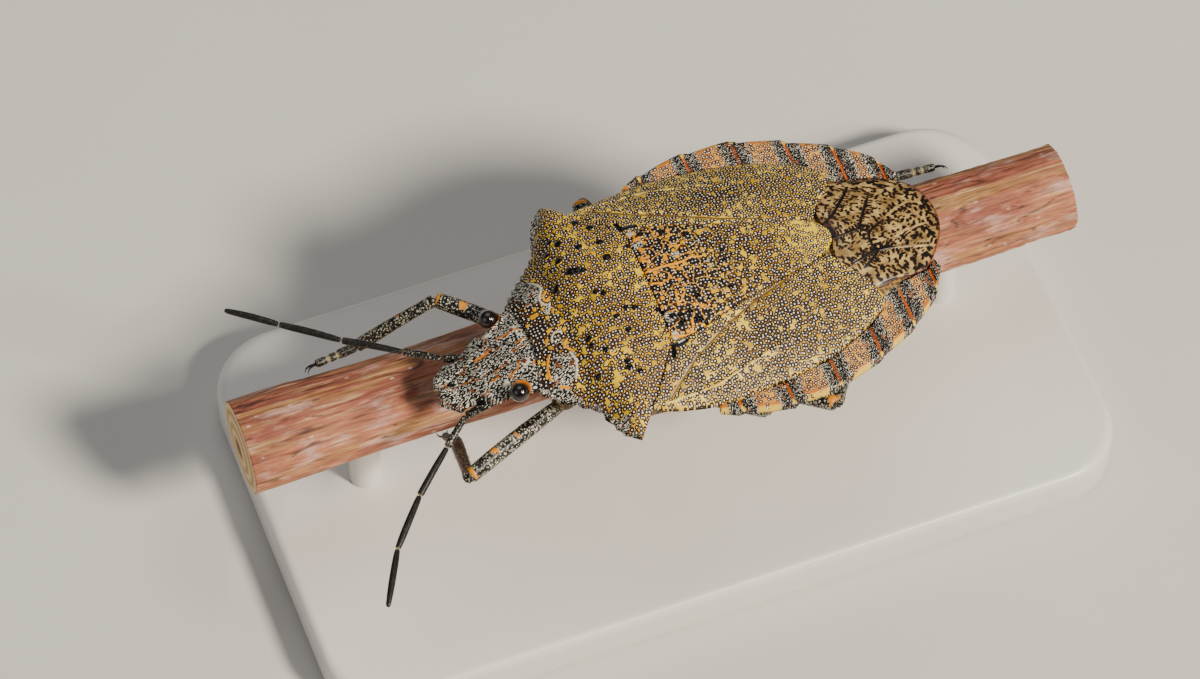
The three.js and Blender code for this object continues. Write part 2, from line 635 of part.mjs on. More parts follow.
// Stand: a flat rounded base and two rods up to the twig's underside.
function standNodes() {
  const x = BASE.length / 2 - BASE.bevel;
  const y = BASE.width / 2 - BASE.bevel;
  const r = BASE.corner;
  const outline = new THREE.Shape();
  outline.moveTo(-x + r, -y);
  outline.absarc(x - r, -y + r, r, -Math.PI / 2, 0);
  outline.absarc(x - r, y - r, r, 0, Math.PI / 2);
  outline.absarc(-x + r, y - r, r, Math.PI / 2, Math.PI);
  outline.absarc(-x + r, -y + r, r, Math.PI, Math.PI * 1.5);
  const plate = new THREE.ExtrudeGeometry(outline, {
    depth: BASE.thickness - 2 * BASE.bevel,
    bevelEnabled: true,
    bevelThickness: BASE.bevel,
    bevelSize: BASE.bevel,
    bevelSegments: 1,
    curveSegments: BASE.cornerSteps,
  });
  plate.translate(0, 0, BASE.bevel);
  const nodes = [node("stand_base", solid(plate), COLOURS.stand)];
  const perch = twig(GAP).translate(INSECT_AT.toArray());
  const rodBottom = BASE.thickness + GAP;
  const rodTop = INSECT_AT.z + TWIG.z;
  for (const [name, sign] of [["front", -1], ["rear", 1]]) {
    const rod = new THREE.CylinderGeometry(ROD.radius, ROD.radius, rodTop - rodBottom, ROD.sides);
    rod.rotateX(Math.PI / 2);
    rod.translate(sign * ROD.x, INSECT_AT.y + TWIG.y, (rodTop + rodBottom) / 2);
    nodes.push(node("stand_rod_" + name, solid(rod).subtract(perch), COLOURS.stand));
  }
  return nodes;
}

const insect = new THREE.Group();
insect.add(...headNodes(), ...backNodes(), ...trunkNodes(), ...legNodes());
insect.add(node("perch_twig", twig(), COLOURS.bark));
insect.position.copy(INSECT_AT);

const group = new THREE.Group();
group.add(insect, ...standNodes());

export default group;
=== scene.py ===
# %% [markdown]
# # A rough-backed shield bug on a twig
#
# The animal is 16 mm long. It looks like bark because its hard back is crowded with tiny dark
# pits, each with a white speck of wax in it. This lesson builds that back as real geometry:
# smooth plates first, then thousands of pits pressed into them by the same pattern that later
# colours them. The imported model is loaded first, because it says where every part sits.

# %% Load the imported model
import math
import random
from types import SimpleNamespace

import bpy
import bmesh
import numpy as np
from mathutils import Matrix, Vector, noise


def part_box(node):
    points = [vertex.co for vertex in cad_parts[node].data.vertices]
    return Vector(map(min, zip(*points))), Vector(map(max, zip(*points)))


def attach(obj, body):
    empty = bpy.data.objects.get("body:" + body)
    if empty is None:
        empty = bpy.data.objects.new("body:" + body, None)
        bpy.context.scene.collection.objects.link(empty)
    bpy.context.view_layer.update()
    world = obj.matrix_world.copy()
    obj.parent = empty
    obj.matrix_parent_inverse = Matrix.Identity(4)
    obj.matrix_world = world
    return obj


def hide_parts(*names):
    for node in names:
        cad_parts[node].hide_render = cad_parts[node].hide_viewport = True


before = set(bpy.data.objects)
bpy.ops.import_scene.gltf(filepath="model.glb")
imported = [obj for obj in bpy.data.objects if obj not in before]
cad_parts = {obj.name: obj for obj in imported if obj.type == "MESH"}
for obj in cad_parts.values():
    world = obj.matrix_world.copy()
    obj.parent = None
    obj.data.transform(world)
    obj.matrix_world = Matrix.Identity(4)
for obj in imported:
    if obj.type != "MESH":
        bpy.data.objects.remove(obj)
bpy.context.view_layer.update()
random.seed(16)
print("nodes in the packed model:", len(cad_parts))

# %% [markdown]
# ## Millimetres and the insect's own frame
#
# Blender works in metres, but an insect is easier to think about in millimetres. The insect has
# a frame of its own: x runs from the head (-8) to the wing tips (+8), y to its right, and z is 0
# at the sharp margin of its back. The two eyes say where that frame sits in the model.

# %% Where the insect sits
MM = 0.001
EYE_CENTRE = np.array([-6.1, 1.38, -0.27])
EYE_RADIUS = 0.29


def middle(node):
    low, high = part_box(node)
    return (np.array(low) + np.array(high)) / 2 / MM


between_eyes = (middle("eye_left") + middle("eye_right")) / 2
INSECT_AT = between_eyes - EYE_CENTRE * [1, 0, 1]
print("insect frame at", INSECT_AT.round(2), "mm")

# %% [markdown]
# ## Curves and profiles
#
# Every plate of the back is bounded by four smooth curves, each drawn through a few points. A
# profile is the same idea in one dimension: a height or a width that changes smoothly along the
# body. Both work on whole arrays at once, so a plate with fifty thousand points takes no time.


# %% Smooth curves through points
def spline(points, u):
    p = np.asarray(points, float)
    u = np.clip(np.asarray(u, float), 0, 1) * (len(p) - 1)
    i = np.minimum(u.astype(int), len(p) - 2)
    w = (u - i)[..., None]
    before = p[np.maximum(i - 1, 0)]
    a = p[i]
    b = p[i + 1]
    after = p[np.minimum(i + 2, len(p) - 1)]
    cubic = (3 * a - before - 3 * b + after) * w**3
    square = (2 * before - 5 * a + 4 * b - after) * w**2
    return 0.5 * (2 * a + (b - before) * w + square + cubic)


def profile(pairs):
    at, value = np.array(pairs, float).T
    slope = np.gradient(value, at)
    slope[1:-1] = (value[2:] - value[:-2]) / (at[2:] - at[:-2])

    def read(x):
        x = np.clip(x, at[0], at[-1])
        i = np.clip(np.searchsorted(at, x, side="right") - 1, 0, len(at) - 2)
        width = at[i + 1] - at[i]
        u = (x - at[i]) / width
        rise = u * u * (3 - 2 * u)
        ends = value[i] * (1 - rise) + value[i + 1] * rise
        return ends + u * (1 - u) * width * ((1 - u) * slope[i] - u * slope[i + 1])

    return read


def mirror(points):
    return [(x, -y) for x, y in points]


def across_body(left_half):
    return [*left_half, *mirror(left_half)[-2::-1]]


def curve_length(points):
    return np.linalg.norm(np.diff(spline(points, np.linspace(0, 1, 60)), axis=0), axis=1).sum()


# %% [markdown]
# ## The shape of the back
#
# Seen from behind, the back is a low flat-topped vault. Three profiles give it: the height along
# the middle, the height of the margin, and the half width. Every plate lies on this one surface,
# so neighbours meet without a step, and each then adds its own swellings and furrows.

# %% Back surface
midline = profile([
    (-5.55, 0.1), (-4.5, 0.6), (-3.5, 1.05), (-2.5, 1.28), (-1.5, 1.34), (0, 1.3),
    (1.5, 1.16), (3, 1.0), (4.4, 0.82), (6, 0.5), (7, 0.28), (7.95, 0.05),
])
margin_height = profile([(-5.5, -0.3), (-4.6, -0.12), (-3.3, 0.16), (-1, 0.1), (5, 0.08), (8, -0.02)])
back_half_width = profile([
    (-5.6, 1.62), (-5, 2.1), (-4.4, 2.62), (-3.9, 3.4), (-3.3, 4.3), (-2.4, 4.05), (-1.2, 4.05),
    (0, 4.12), (2, 3.95), (4, 3.5), (5.2, 2.9), (6.5, 2.3), (8, 1.9),
])
BACK_FLATNESS = 2.3


def back(x, y):
    out = np.minimum(np.abs(y) / back_half_width(x), 1)
    edge = margin_height(x)
    return edge + (midline(x) - edge) * (1 - out**BACK_FLATNESS)


print("highest point of the back", round(float(back(-1.5, 0)), 2), "mm above the margin")

# %% [markdown]
# ## Plates from four edges
#
# A plate is a grid stretched between its four edges (a Coons patch). Subdivision modelling would
# also work, but a grid gives even, tiny faces exactly where the pits will be pressed in. The
# upper side is fine, the hidden underside is coarse, and a rounded rim joins them into one
# closed body. Neighbours keep a seam of three hundredths of a millimetre.

# %% Build one plate
SEAM = 0.03
COARSE = 8


def loop_of(rows, columns):
    top = [(0, c) for c in range(columns)]
    right = [(r, columns) for r in range(rows)]
    bottom = [(rows, c) for c in range(columns, 0, -1)]
    left = [(r, 0) for r in range(rows, 0, -1)]
    return np.array(top + right + bottom + left)


def lay_grid(edges, spacing):
    front, rear, left, right = (edges[k] for k in ("front", "rear", "left", "right"))
    wide = max(curve_length(front), curve_length(rear)) / spacing
    long = max(curve_length(left), curve_length(right)) / spacing
    columns = max(1, round(wide / COARSE)) * COARSE
    rows = max(1, round(long / COARSE)) * COARSE
    s, t = np.meshgrid(np.linspace(0, 1, columns + 1), np.linspace(0, 1, rows + 1))
    width = np.linalg.norm(spline(left, t) - spline(right, t), axis=-1)
    length = np.linalg.norm(spline(front, s) - spline(rear, s), axis=-1)
    in_s = np.minimum(SEAM / 2 / width, 0.3)
    in_t = np.minimum(SEAM / 2 / length, 0.3)
    u = (in_s + s * (1 - 2 * in_s))[..., None]
    v = (in_t + t * (1 - 2 * in_t))[..., None]
    ends = spline(front, u[..., 0]) * (1 - v) + spline(rear, u[..., 0]) * v
    sides = spline(left, v[..., 0]) * (1 - u) + spline(right, v[..., 0]) * u
    fore = np.array(front[0]) * (1 - u) + np.array(front[-1]) * u
    aft = np.array(rear[0]) * (1 - u) + np.array(rear[-1]) * u
    place = ends + sides - fore * (1 - v) - aft * v
    return SimpleNamespace(
        x=place[..., 0], y=place[..., 1], left=s * width, right=(1 - s) * width,
        side=np.minimum(s, 1 - s) * width, ahead=t * length, behind=(1 - t) * length,
    )


def rim_faces(fine, coarse_loop):
    faces = []
    size = len(fine)
    for c in range(len(coarse_loop)):
        here = coarse_loop[c]
        after = coarse_loop[(c + 1) % len(coarse_loop)]
        for k in range(COARSE):
            a = fine[(c * COARSE + k) % size]
            b = fine[(c * COARSE + k + 1) % size]
            faces.append((b, a, here if k < COARSE // 2 else after))
        faces.append((fine[(c * COARSE + COARSE // 2) % size], here, after))
    return faces


def plate(name, edges, spacing, top, bottom, bulge=0.0, rings=2):
    grid = lay_grid(edges, spacing)
    rows, columns = grid.x.shape[0] - 1, grid.x.shape[1] - 1
    number = np.arange((rows + 1) * (columns + 1)).reshape(rows + 1, columns + 1)
    upper = np.stack([grid.x, grid.y, top(grid)], -1).reshape(-1, 3)
    under = np.stack([grid.x, grid.y, bottom(grid)], -1).reshape(-1, 3)
    loop = number[tuple(loop_of(rows, columns).T)]
    ahead = np.roll(upper[loop], -1, 0) - np.roll(upper[loop], 1, 0)
    out = np.stack([ahead[:, 1], -ahead[:, 0], ahead[:, 2] * 0], -1)
    out /= np.linalg.norm(out, axis=1, keepdims=True) + 1e-9
    points, source = [upper], [number.ravel()]
    corners = [number[:-1, :-1], number[1:, :-1], number[1:, 1:], number[:-1, 1:]]
    quads = [np.stack(corners, -1).reshape(-1, 4)]
    last, count = loop, len(upper)
    for ring in range(1, rings + 1):
        w = ring / (rings + 1)
        points.append(upper[loop] * (1 - w) + under[loop] * w + out * bulge * math.sin(math.pi * w))
        source.append(loop)
        this = np.arange(count, count + len(loop))
        quads.append(np.stack([np.roll(last, -1), last, this, np.roll(this, -1)], -1))
        last, count = this, count + len(loop)
    kept = number[::COARSE, ::COARSE]
    points.append(under[kept.ravel()])
    source.append(kept.ravel())
    low = np.arange(count, count + kept.size).reshape(kept.shape)
    corners = [low[:-1, :-1], low[:-1, 1:], low[1:, 1:], low[1:, :-1]]
    quads.append(np.stack(corners, -1).reshape(-1, 4))
    low_loop = low[tuple(loop_of(rows // COARSE, columns // COARSE).T)]
    faces = np.concatenate(quads).tolist() + rim_faces(last.tolist(), low_loop.tolist())
    piece = make_piece(name, np.concatenate(points), faces)
    grid.source = np.concatenate(source)
    return piece, grid


# %% [markdown]
# Two small helpers finish a piece: one turns points and faces into a smooth object in metres
# with its faces turned outwards, and one writes a painted field onto its points. A field is a
# number from 0 to 1 at every point, such as "how orange is the ground here", which the
# materials read as an attribute.


# %% Objects and painted fields
def make_piece(name, points, faces, own_frame=True):
    shift = INSECT_AT if own_frame else 0
    mesh = bpy.data.meshes.new(name)
    mesh.from_pydata(((np.asarray(points) + shift) * MM).tolist(), [], faces)
    mesh.validate()
    work = bmesh.new()
    work.from_mesh(mesh)
    bmesh.ops.recalc_face_normals(work, faces=work.faces)
    work.to_mesh(mesh)
    work.free()
    mesh.shade_smooth()
    piece = bpy.data.objects.new(name, mesh)
    bpy.context.collection.objects.link(piece)
    return piece


def paint(piece, grid, **fields):
    for name, values in fields.items():
        layer = piece.data.attributes.new(name, "FLOAT", "POINT")
        flat = np.broadcast_to(values, grid.x.shape).reshape(-1)
        layer.data.foreach_set("value", flat[grid.source].astype(np.float32))


def finish(piece, material, slot, *replaced):
    piece.data.materials.clear()
    piece.data.materials.append(material)
    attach(piece, "root")
    if replaced:
        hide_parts(*replaced)


# %% [markdown]
# Places on the back are described by how near they are to a spot or to a drawn line. Both give 1
# at the place and fall off smoothly. An insect's markings are symmetric, so a spot counts on
# both sides of the body unless told otherwise, and lines are drawn where they really are.


# %% Near a spot, near a line
def near(grid, cx, cy, radius, along=1.0, both=True):
    y = np.abs(grid.y) if both else grid.y
    return np.exp(-(((grid.x - cx) / (radius * along)) ** 2) - ((y - cy) / radius) ** 2)


def line_distance(x, y, points):
    p = np.asarray(points, float)
    best = np.full(np.shape(x), 1e9)
    for a, b in zip(p, p[1:]):
        d = b - a
        u = np.clip(((x - a[0]) * d[0] + (y - a[1]) * d[1]) / (d @ d), 0, 1)
        best = np.minimum(best, np.hypot(x - a[0] - u * d[0], y - a[1] - u * d[1]))
    return best


def near_line(grid, points, width, both=True):
    y = np.abs(grid.y) if both else grid.y
    return np.exp(-((line_distance(grid.x, y, points) / width) ** 2))


def drawn(grid, lines, width):
    runs = [spline(line, np.linspace(0, 1, 16)) for line in lines]
    return np.max([near_line(grid, run, width, False) for run in runs], axis=0)


def rolled(grid, depth=0.05, reach=0.07, edges=("side", "ahead", "behind")):
    nearest = np.min([getattr(grid, edge) for edge in edges], axis=0)
    return -depth * np.exp(-((nearest / reach) ** 2))


# %% [markdown]
# ## The pits, as one pattern for relief and colour
#
# The pits are the insect's signature: an eighth of a millimetre apart, each a dark ring with a
# raised white speck. Sculpting thousands by hand is hopeless, and a bump map would vanish at the
# outline. A Voronoi pattern can be read by geometry nodes, which press it into the mesh, and by
# the material, which colours it, so every dark ring sits in its own hollow. Larger cells of a
# second Voronoi draw the smooth orange network that runs between clusters of pits.

# %% One helper for nodes
PIT_SPACING = 0.118
CLUSTER_SPACING = 0.4
SWIRL_REACH = 0.6
PIT_DEPTH = 0.018


def add(tree, kind, inputs=None, **settings):
    node = tree.nodes.new(kind)
    for name, value in settings.items():
        setattr(node, name, value)
    for name, value in (inputs or {}).items():
        if isinstance(name, int):
            socket = node.inputs[name]
        else:
            socket = next(i for i in node.inputs if i.name == name and i.enabled)
        if isinstance(value, bpy.types.Node):
            value = next(o for o in value.outputs if o.enabled)
        if isinstance(value, bpy.types.NodeSocket):
            tree.links.new(value, socket)
        else:
            socket.default_value = value
    return node


def painted(tree, name):
    """The socket of a painted field, in a material or in geometry nodes."""
    if tree.bl_idname == "GeometryNodeTree":
        field = add(tree, "GeometryNodeInputNamedAttribute", {"Name": name}, data_type="FLOAT")
        return field.outputs["Attribute"]
    return add(tree, "ShaderNodeAttribute", attribute_name=name).outputs["Fac"]


def step(tree, value, low, high, to=1.0):
    """0 before low, 'to' after high, smooth between. With high below low it runs the other way."""
    inputs = {"Value": value, "From Min": low, "From Max": high, "To Max": to}
    return add(tree, "ShaderNodeMapRange", inputs, interpolation_type="SMOOTHSTEP")


def blend(tree, factor, a, b, **settings):
    colours = {k: linear(v) if isinstance(v, str) else v for k, v in (("A", a), ("B", b))}
    return add(tree, "ShaderNodeMix", {"Factor": factor, **colours}, data_type="RGBA", **settings).outputs[2]


def maths(tree, operation, *values):
    return add(tree, "ShaderNodeMath", dict(enumerate(values)), operation=operation)


# %% Pits and clusters
def pit_pattern(tree, place):
    scaled = add(tree, "ShaderNodeVectorMath", {0: place, "Scale": 1 / (PIT_SPACING * MM)}, operation="SCALE")
    cells = add(
        tree, "ShaderNodeTexVoronoi", {"Vector": scaled, "Scale": 1.0, "Randomness": 0.58},
        voronoi_dimensions="2D",
    )
    own = add(tree, "ShaderNodeSeparateXYZ", {0: cells.outputs["Color"]})
    size = add(tree, "ShaderNodeMapRange", {"Value": own.outputs["X"], "To Min": 0.9, "To Max": 1.14})
    apart = maths(tree, "MULTIPLY", cells.outputs["Distance"], size)
    blotch = add(tree, "ShaderNodeTexNoise", {"Vector": place, "Scale": 3200.0, "Detail": 2.0})
    swirl = add(tree, "ShaderNodeTexNoise", {"Vector": place, "Scale": 2500.0, "Detail": 1.0})
    shifted = add(
        tree, "ShaderNodeVectorMath", {0: swirl.outputs["Color"], "Scale": SWIRL_REACH * MM},
        operation="SCALE",
    )
    bent = add(tree, "ShaderNodeVectorMath", {0: place, 1: shifted}, operation="ADD")
    larger = add(
        tree, "ShaderNodeVectorMath", {0: bent, "Scale": 1 / (CLUSTER_SPACING * MM)}, operation="SCALE"
    )
    clusters = add(
        tree, "ShaderNodeTexVoronoi", {"Vector": larger, "Scale": 1.0}, voronoi_dimensions="2D",
        feature="DISTANCE_TO_EDGE",
    )
    bands = step(tree, clusters.outputs["Distance"], 0.06, 0.015)
    network = maths(tree, "MULTIPLY", bands, painted(tree, "network"))
    island = maths(tree, "ADD", blotch, painted(tree, "smooth"))
    missing = step(tree, own.outputs["Z"], 0.07, 0.06)
    flat = maths(tree, "MAXIMUM", maths(tree, "ADD", step(tree, island, 0.66, 0.7), network), missing)
    pitted = add(tree, "ShaderNodeMapRange", {"Value": flat, "To Min": 1.0, "To Max": 0.0})
    crowd = add(tree, "ShaderNodeMapRange", {"Value": painted(tree, "crowd"), "To Min": 1.0, "To Max": 0.5})
    reach = maths(tree, "MULTIPLY", apart, crowd)
    return SimpleNamespace(
        halo=maths(tree, "MULTIPLY", step(tree, reach, 0.56, 0.48), pitted),
        ring=maths(tree, "MULTIPLY", step(tree, reach, 0.48, 0.4), pitted),
        speck=maths(tree, "MULTIPLY", step(tree, apart, 0.22, 0.17), pitted),
        blotch=blotch, own=own.outputs["Y"],
    )


# %% [markdown]
# Where the cuticle is black, a second pattern takes over: short white ridges like tiny worms,
# which run along the body on the head and across the rim of the abdomen. They are Voronoi
# cells too, but stretched, and bent by noise so that no two are alike.

# %% White worms on black
WORM_SPACING = 0.054
ALONG_BODY = (0.6, 1.3, 1.3)
ACROSS_MARGIN = (1.7, 0.6, 1.3)
EVEN = (0.85, 0.85, 0.85)


def worm_pattern(tree, place, stretch, dimensions):
    across = [s / (WORM_SPACING * MM) for s in stretch]
    scaled = add(tree, "ShaderNodeVectorMath", {0: place, 1: across}, operation="MULTIPLY")
    swirl = add(tree, "ShaderNodeTexNoise", {"Vector": scaled, "Scale": 0.45, "Detail": 1.0})
    warp = add(tree, "ShaderNodeVectorMath", {0: swirl.outputs["Color"], "Scale": 1.8}, operation="SCALE")
    bent = add(tree, "ShaderNodeVectorMath", {0: scaled, 1: warp}, operation="ADD")
    cells = add(
        tree, "ShaderNodeTexVoronoi", {"Vector": bent, "Scale": 1.0, "Randomness": 1.0},
        voronoi_dimensions=dimensions,
    )
    patch = add(tree, "ShaderNodeTexNoise", {"Vector": scaled, "Scale": 0.22, "Detail": 2.0})
    bare = step(tree, patch, 0.62, 0.36, 0.12)
    return maths(tree, "ADD", cells.outputs["Distance"], bare)


# %% Press the patterns into a piece
WORM_HEIGHT = 0.007


def relief_tree(name, along_normal, stretch):
    tree = bpy.data.node_groups.new(name, "GeometryNodeTree")
    tree.interface.new_socket("Geometry", in_out="INPUT", socket_type="NodeSocketGeometry")
    tree.interface.new_socket("Geometry", in_out="OUTPUT", socket_type="NodeSocketGeometry")
    source = add(tree, "NodeGroupInput")
    place = add(tree, "GeometryNodeInputPosition")
    pits = pit_pattern(tree, place)
    speck = maths(tree, "MULTIPLY", pits.speck, PIT_DEPTH * MM * 0.9)
    pit = maths(tree, "MULTIPLY_ADD", pits.ring, -PIT_DEPTH * MM, speck)
    pressed = maths(tree, "MULTIPLY", pit, painted(tree, "pitting"))
    worms = worm_pattern(tree, place, stretch, "3D" if along_normal else "2D")
    raised = maths(tree, "MULTIPLY", step(tree, worms, 0.6, 0.25, WORM_HEIGHT * MM), painted(tree, "warty"))
    both = maths(tree, "ADD", pressed, raised)
    if along_normal:
        way = add(tree, "GeometryNodeInputNormal")
    else:
        way = add(tree, "ShaderNodeCombineXYZ", {"Z": 1.0})
    move = add(tree, "ShaderNodeVectorMath", {0: way, "Scale": both}, operation="SCALE")
    moved = add(tree, "GeometryNodeSetPosition", {"Geometry": source, "Offset": move})
    add(tree, "NodeGroupOutput", {"Geometry": moved})
    return tree


reliefs = {
    "back": relief_tree("pits pressed down", False, ALONG_BODY),
    "margin": relief_tree("wrinkles across the margin", False, ACROSS_MARGIN),
    "limb": relief_tree("warts on a limb", True, EVEN),
}


def press(piece, kind):
    modifier = piece.modifiers.new("relief", "NODES")
    modifier.node_group = reliefs[kind]
    pressed = piece.evaluated_get(bpy.context.evaluated_depsgraph_get())
    mesh = bpy.data.meshes.new_from_object(pressed)
    piece.modifiers.clear()
    piece.data = mesh
    mesh.name = piece.name


# %% [markdown]
# ## Materials: insect cuticle
#
# Cuticle is chitin, a hard, slightly waxy natural polymer with an IOR near 1.56. On the back it
# is ochre, and every pit has a maroon-black ring with a white speck of wax. Painted fields say
# where the ground turns orange, where it is black with white worms, where it is smooth, and
# where a bare black knob stands out. One function makes this cuticle, because the head, back
# and margin are the same stuff in different proportions.

# %% Colours and a new material
def linear(hex_colour):
    parts = [int(hex_colour[i : i + 2], 16) / 255 for i in (1, 3, 5)]
    return (*[p / 12.92 if p <= 0.04045 else ((p + 0.055) / 1.055) ** 2.4 for p in parts], 1.0)


def new_material(name, **settings):
    material = bpy.data.materials.new(name)
    material.use_nodes = True
    surface = material.node_tree.nodes["Principled BSDF"]
    for key, value in settings.items():
        surface.inputs[key.replace("_", " ")].default_value = value
    return material, material.node_tree, surface


CHITIN_IOR = 1.56
# An ember-coloured streak is about a fifth of a millimetre wide.
EMBERS_PER_METRE = 4600


# %% Pitted cuticle
def pitted_cuticle(name, ground, sunlit, warm, pale, halo, ring, stretch=ALONG_BODY):
    material, tree, surface = new_material(name, IOR=CHITIN_IOR, Specular_IOR_Level=0.32)
    place = add(tree, "ShaderNodeTexCoord").outputs["Object"]
    pits = pit_pattern(tree, place)
    blotch = pits.blotch

    # The ground: ochre, warmer where orange is painted, with pale smooth places.
    broad = add(tree, "ShaderNodeTexNoise", {"Vector": place, "Scale": 1100.0, "Detail": 3.0})
    base = blend(tree, step(tree, broad, 0.35, 0.65), ground, sunlit)
    orange = step(tree, maths(tree, "MULTIPLY_ADD", blotch, 0.7, painted(tree, "orange")), 0.5, 1.1)
    warmed = blend(tree, orange, base, warm)
    paled = blend(tree, painted(tree, "pale"), warmed, pale)

    # A pit's ring: maroon outside, nearly black inside, with a white speck in the middle.
    stained = blend(tree, pits.halo, paled, halo)
    ringed = blend(tree, pits.ring, stained, ring)
    wax = blend(tree, pits.own, "#ecdcbc", "#fffaf0")
    waxed = blend(tree, pits.speck, ringed, wax)

    # Black cuticle with white worms and a few ember-coloured streaks, where the dark field rules.
    worms = maths(tree, "ADD", worm_pattern(tree, place, stretch, "2D"), painted(tree, "sooty"))
    wormy = blend(tree, step(tree, worms, 0.45, 0.36), "#060505", "#f0ecd9")
    drawn_out = add(
        tree, "ShaderNodeVectorMath", {0: place, 1: [s * EMBERS_PER_METRE for s in stretch]},
        operation="MULTIPLY",
    )
    glow = add(tree, "ShaderNodeTexNoise", {"Vector": drawn_out, "Scale": 1.0, "Detail": 2.0})
    embers = blend(tree, step(tree, glow, 0.58, 0.68, 0.8), wormy, "#90480c")
    edge = maths(tree, "MULTIPLY_ADD", blotch, 0.7, painted(tree, "dark"))
    both = blend(tree, step(tree, edge, 0.72, 0.92), waxed, embers)

    # Smooth drawn marks lie on top: cream lines, orange lines and black knobs.
    # The groove field paints shade, dark brown, into the furrows of the wing cases.
    creamed = blend(tree, step(tree, painted(tree, "white"), 0.3, 0.7, 0.85), both, "#d8d2ba")
    streaked = blend(tree, step(tree, painted(tree, "streak"), 0.25, 0.6), creamed, warm)
    furrow_shaded = blend(tree, step(tree, painted(tree, "groove"), 0.3, 0.8), streaked, "#5a3c18")
    knob = step(tree, painted(tree, "knob"), 0.02, 0.15)
    colour = blend(tree, knob, furrow_shaded, "#070606")
    tree.links.new(colour, surface.inputs["Base Color"])

    # Pits are matt and the ground between them is waxy, so the roughness follows the rings.
    gloss = add(tree, "ShaderNodeMapRange", {"Value": pits.ring, "To Min": 0.4, "To Max": 0.7})
    polished = add(tree, "ShaderNodeMix", {"Factor": knob, "A": gloss, "B": 0.22}, data_type="FLOAT")
    tree.links.new(polished.outputs[0], surface.inputs["Roughness"])
    fine = add(tree, "ShaderNodeTexNoise", {"Vector": place, "Scale": 22000.0, "Detail": 2.0})
    bump = add(tree, "ShaderNodeBump", {"Height": fine, "Strength": 0.25, "Distance": 0.00001})
    tree.links.new(bump.outputs[0], surface.inputs["Normal"])
    return material


back_cuticle = pitted_cuticle(
    "pitted ochre cuticle", "#c09808", "#f6cc20", "#ee9e00", "#ffe030", "#6e2c06", "#100503"
)
wing_cuticle = pitted_cuticle(
    "pitted wing-case cuticle", "#bc941c", "#f2cc48", "#cc8010", "#ffe878", "#5e3212", "#120906"
)
head_cuticle = pitted_cuticle(
    "worm-flecked black cuticle", "#a87c2c", "#c49a40", "#c46c04", "#e8cf86", "#6a3513", "#1c0a06"
)
margin_cuticle = pitted_cuticle(
    "banded margin cuticle", "#d49438", "#f0b85c", "#b85000", "#ffe04c", "#7e3420", "#2a0e0a", ACROSS_MARGIN
)

# %% [markdown]
# ## Pronotum
#
# The pronotum is the broad shield behind the head. Its shoulders end in blunt points and its
# front margins are saw-toothed. Two black scars (calli) sit near the front, each with a cream
# hook and an orange crescent, and about two dozen shiny black knobs are scattered over it.
# Knobs and drawn lines are raised in the height field, then coloured by the same fields.

# %% Shared edges of the plates
NECK = [(-5.55, -1.5), (-5.34, -0.85), (-5.26, 0)]
SHOULDER = [
    (-5.55, -1.5), (-5.1, -1.98), (-4.55, -2.45), (-4.12, -2.9), (-3.9, -3.5), (-3.66, -4.02), (-3.32, -4.38),
]
WING_ROOT = [(-2.72, -3.66), (-2.25, -3.08), (-1.78, -2.42), (-1.53, -2.05)]
SCUTELLUM_BASE = [(-1.53, -2.05), (-1.48, -1.0), (-1.48, 0)]
SCUTELLUM_SIDE = [(-1.53, -2.05), (-0.6, -1.98), (0.5, -1.62), (1.6, -1.29), (2.8, -0.98), (3.7, -0.74)]
WING_SIDE = [
    (-2.72, -3.66), (-2.2, -3.84), (-1.5, -3.97), (-0.3, -4.12), (0.8, -4.04), (1.9, -3.93), (2.9, -3.72),
    (3.8, -3.4), (4.6, -3.0), (5.2, -2.55),
]
SHELL = 0.16
FINE = 0.024

# The knobs of the pronotum and of the scutellum, as (x, y, radius) in the insect's frame.
KNOBS = [
    (-2.42, -0.61, 0.09), (-2.18, -0.71, 0.1), (-2.79, -0.77, 0.09), (-2.6, -1.32, 0.1),
    (-3.76, -1.05, 0.1), (-3.78, -1.31, 0.09), (-3.44, -1.63, 0.09), (-2.98, -2.22, 0.1),
    (-2.98, -2.4, 0.11), (-2.73, -2.61, 0.09), (-3.9, -2.19, 0.09), (-2.66, 3.11, 0.12),
    (-2.34, 2.7, 0.13), (-3.43, 2.52, 0.13), (-3.63, 2.77, 0.1), (-2.93, 2.06, 0.12),
    (-2.29, 1.96, 0.12), (-3.65, 1.9, 0.12), (-3.86, 2.38, 0.1), (-2.31, 1.3, 0.13),
    (-3.48, 1.29, 0.14), (-3.31, 1.24, 0.12), (-3.13, 1.15, 0.1), (-3.05, 0.28, 0.1),
    (-2.86, 0.12, 0.1), (-4.07, 1.0, 0.11), (-4.02, 1.08, 0.1), (-0.43, 1.57, 0.11), (0.21, 1.24, 0.1),
    (-1.07, 1.75, 0.11), (-0.27, -0.97, 0.11), (0.79, -0.97, 0.08), (1.02, 0.33, 0.08),
    (0.95, -0.03, 0.08), (-0.97, -1.4, 0.11), (-0.65, -1.4, 0.1), (-0.52, -1.64, 0.1),
    (-0.42, -1.75, 0.09), (-0.31, -1.85, 0.07), (-0.97, -1.63, 0.11), (-1.2, -1.36, 0.1),
    (-1.54, -1.03, 0.1), (-1.45, -1.18, 0.08), (-0.54, 2.07, 0.07), (-1.57, 1.45, 0.1),
]


def knob_field(grid):
    field = np.zeros(grid.x.shape)
    for x, y, radius in KNOBS:
        field = np.maximum(field, 1 - np.hypot(grid.x - x, grid.y - y) / radius)
    return field


def domes(field, height=0.05):
    return height * np.sqrt(1 - (1 - field) ** 2)


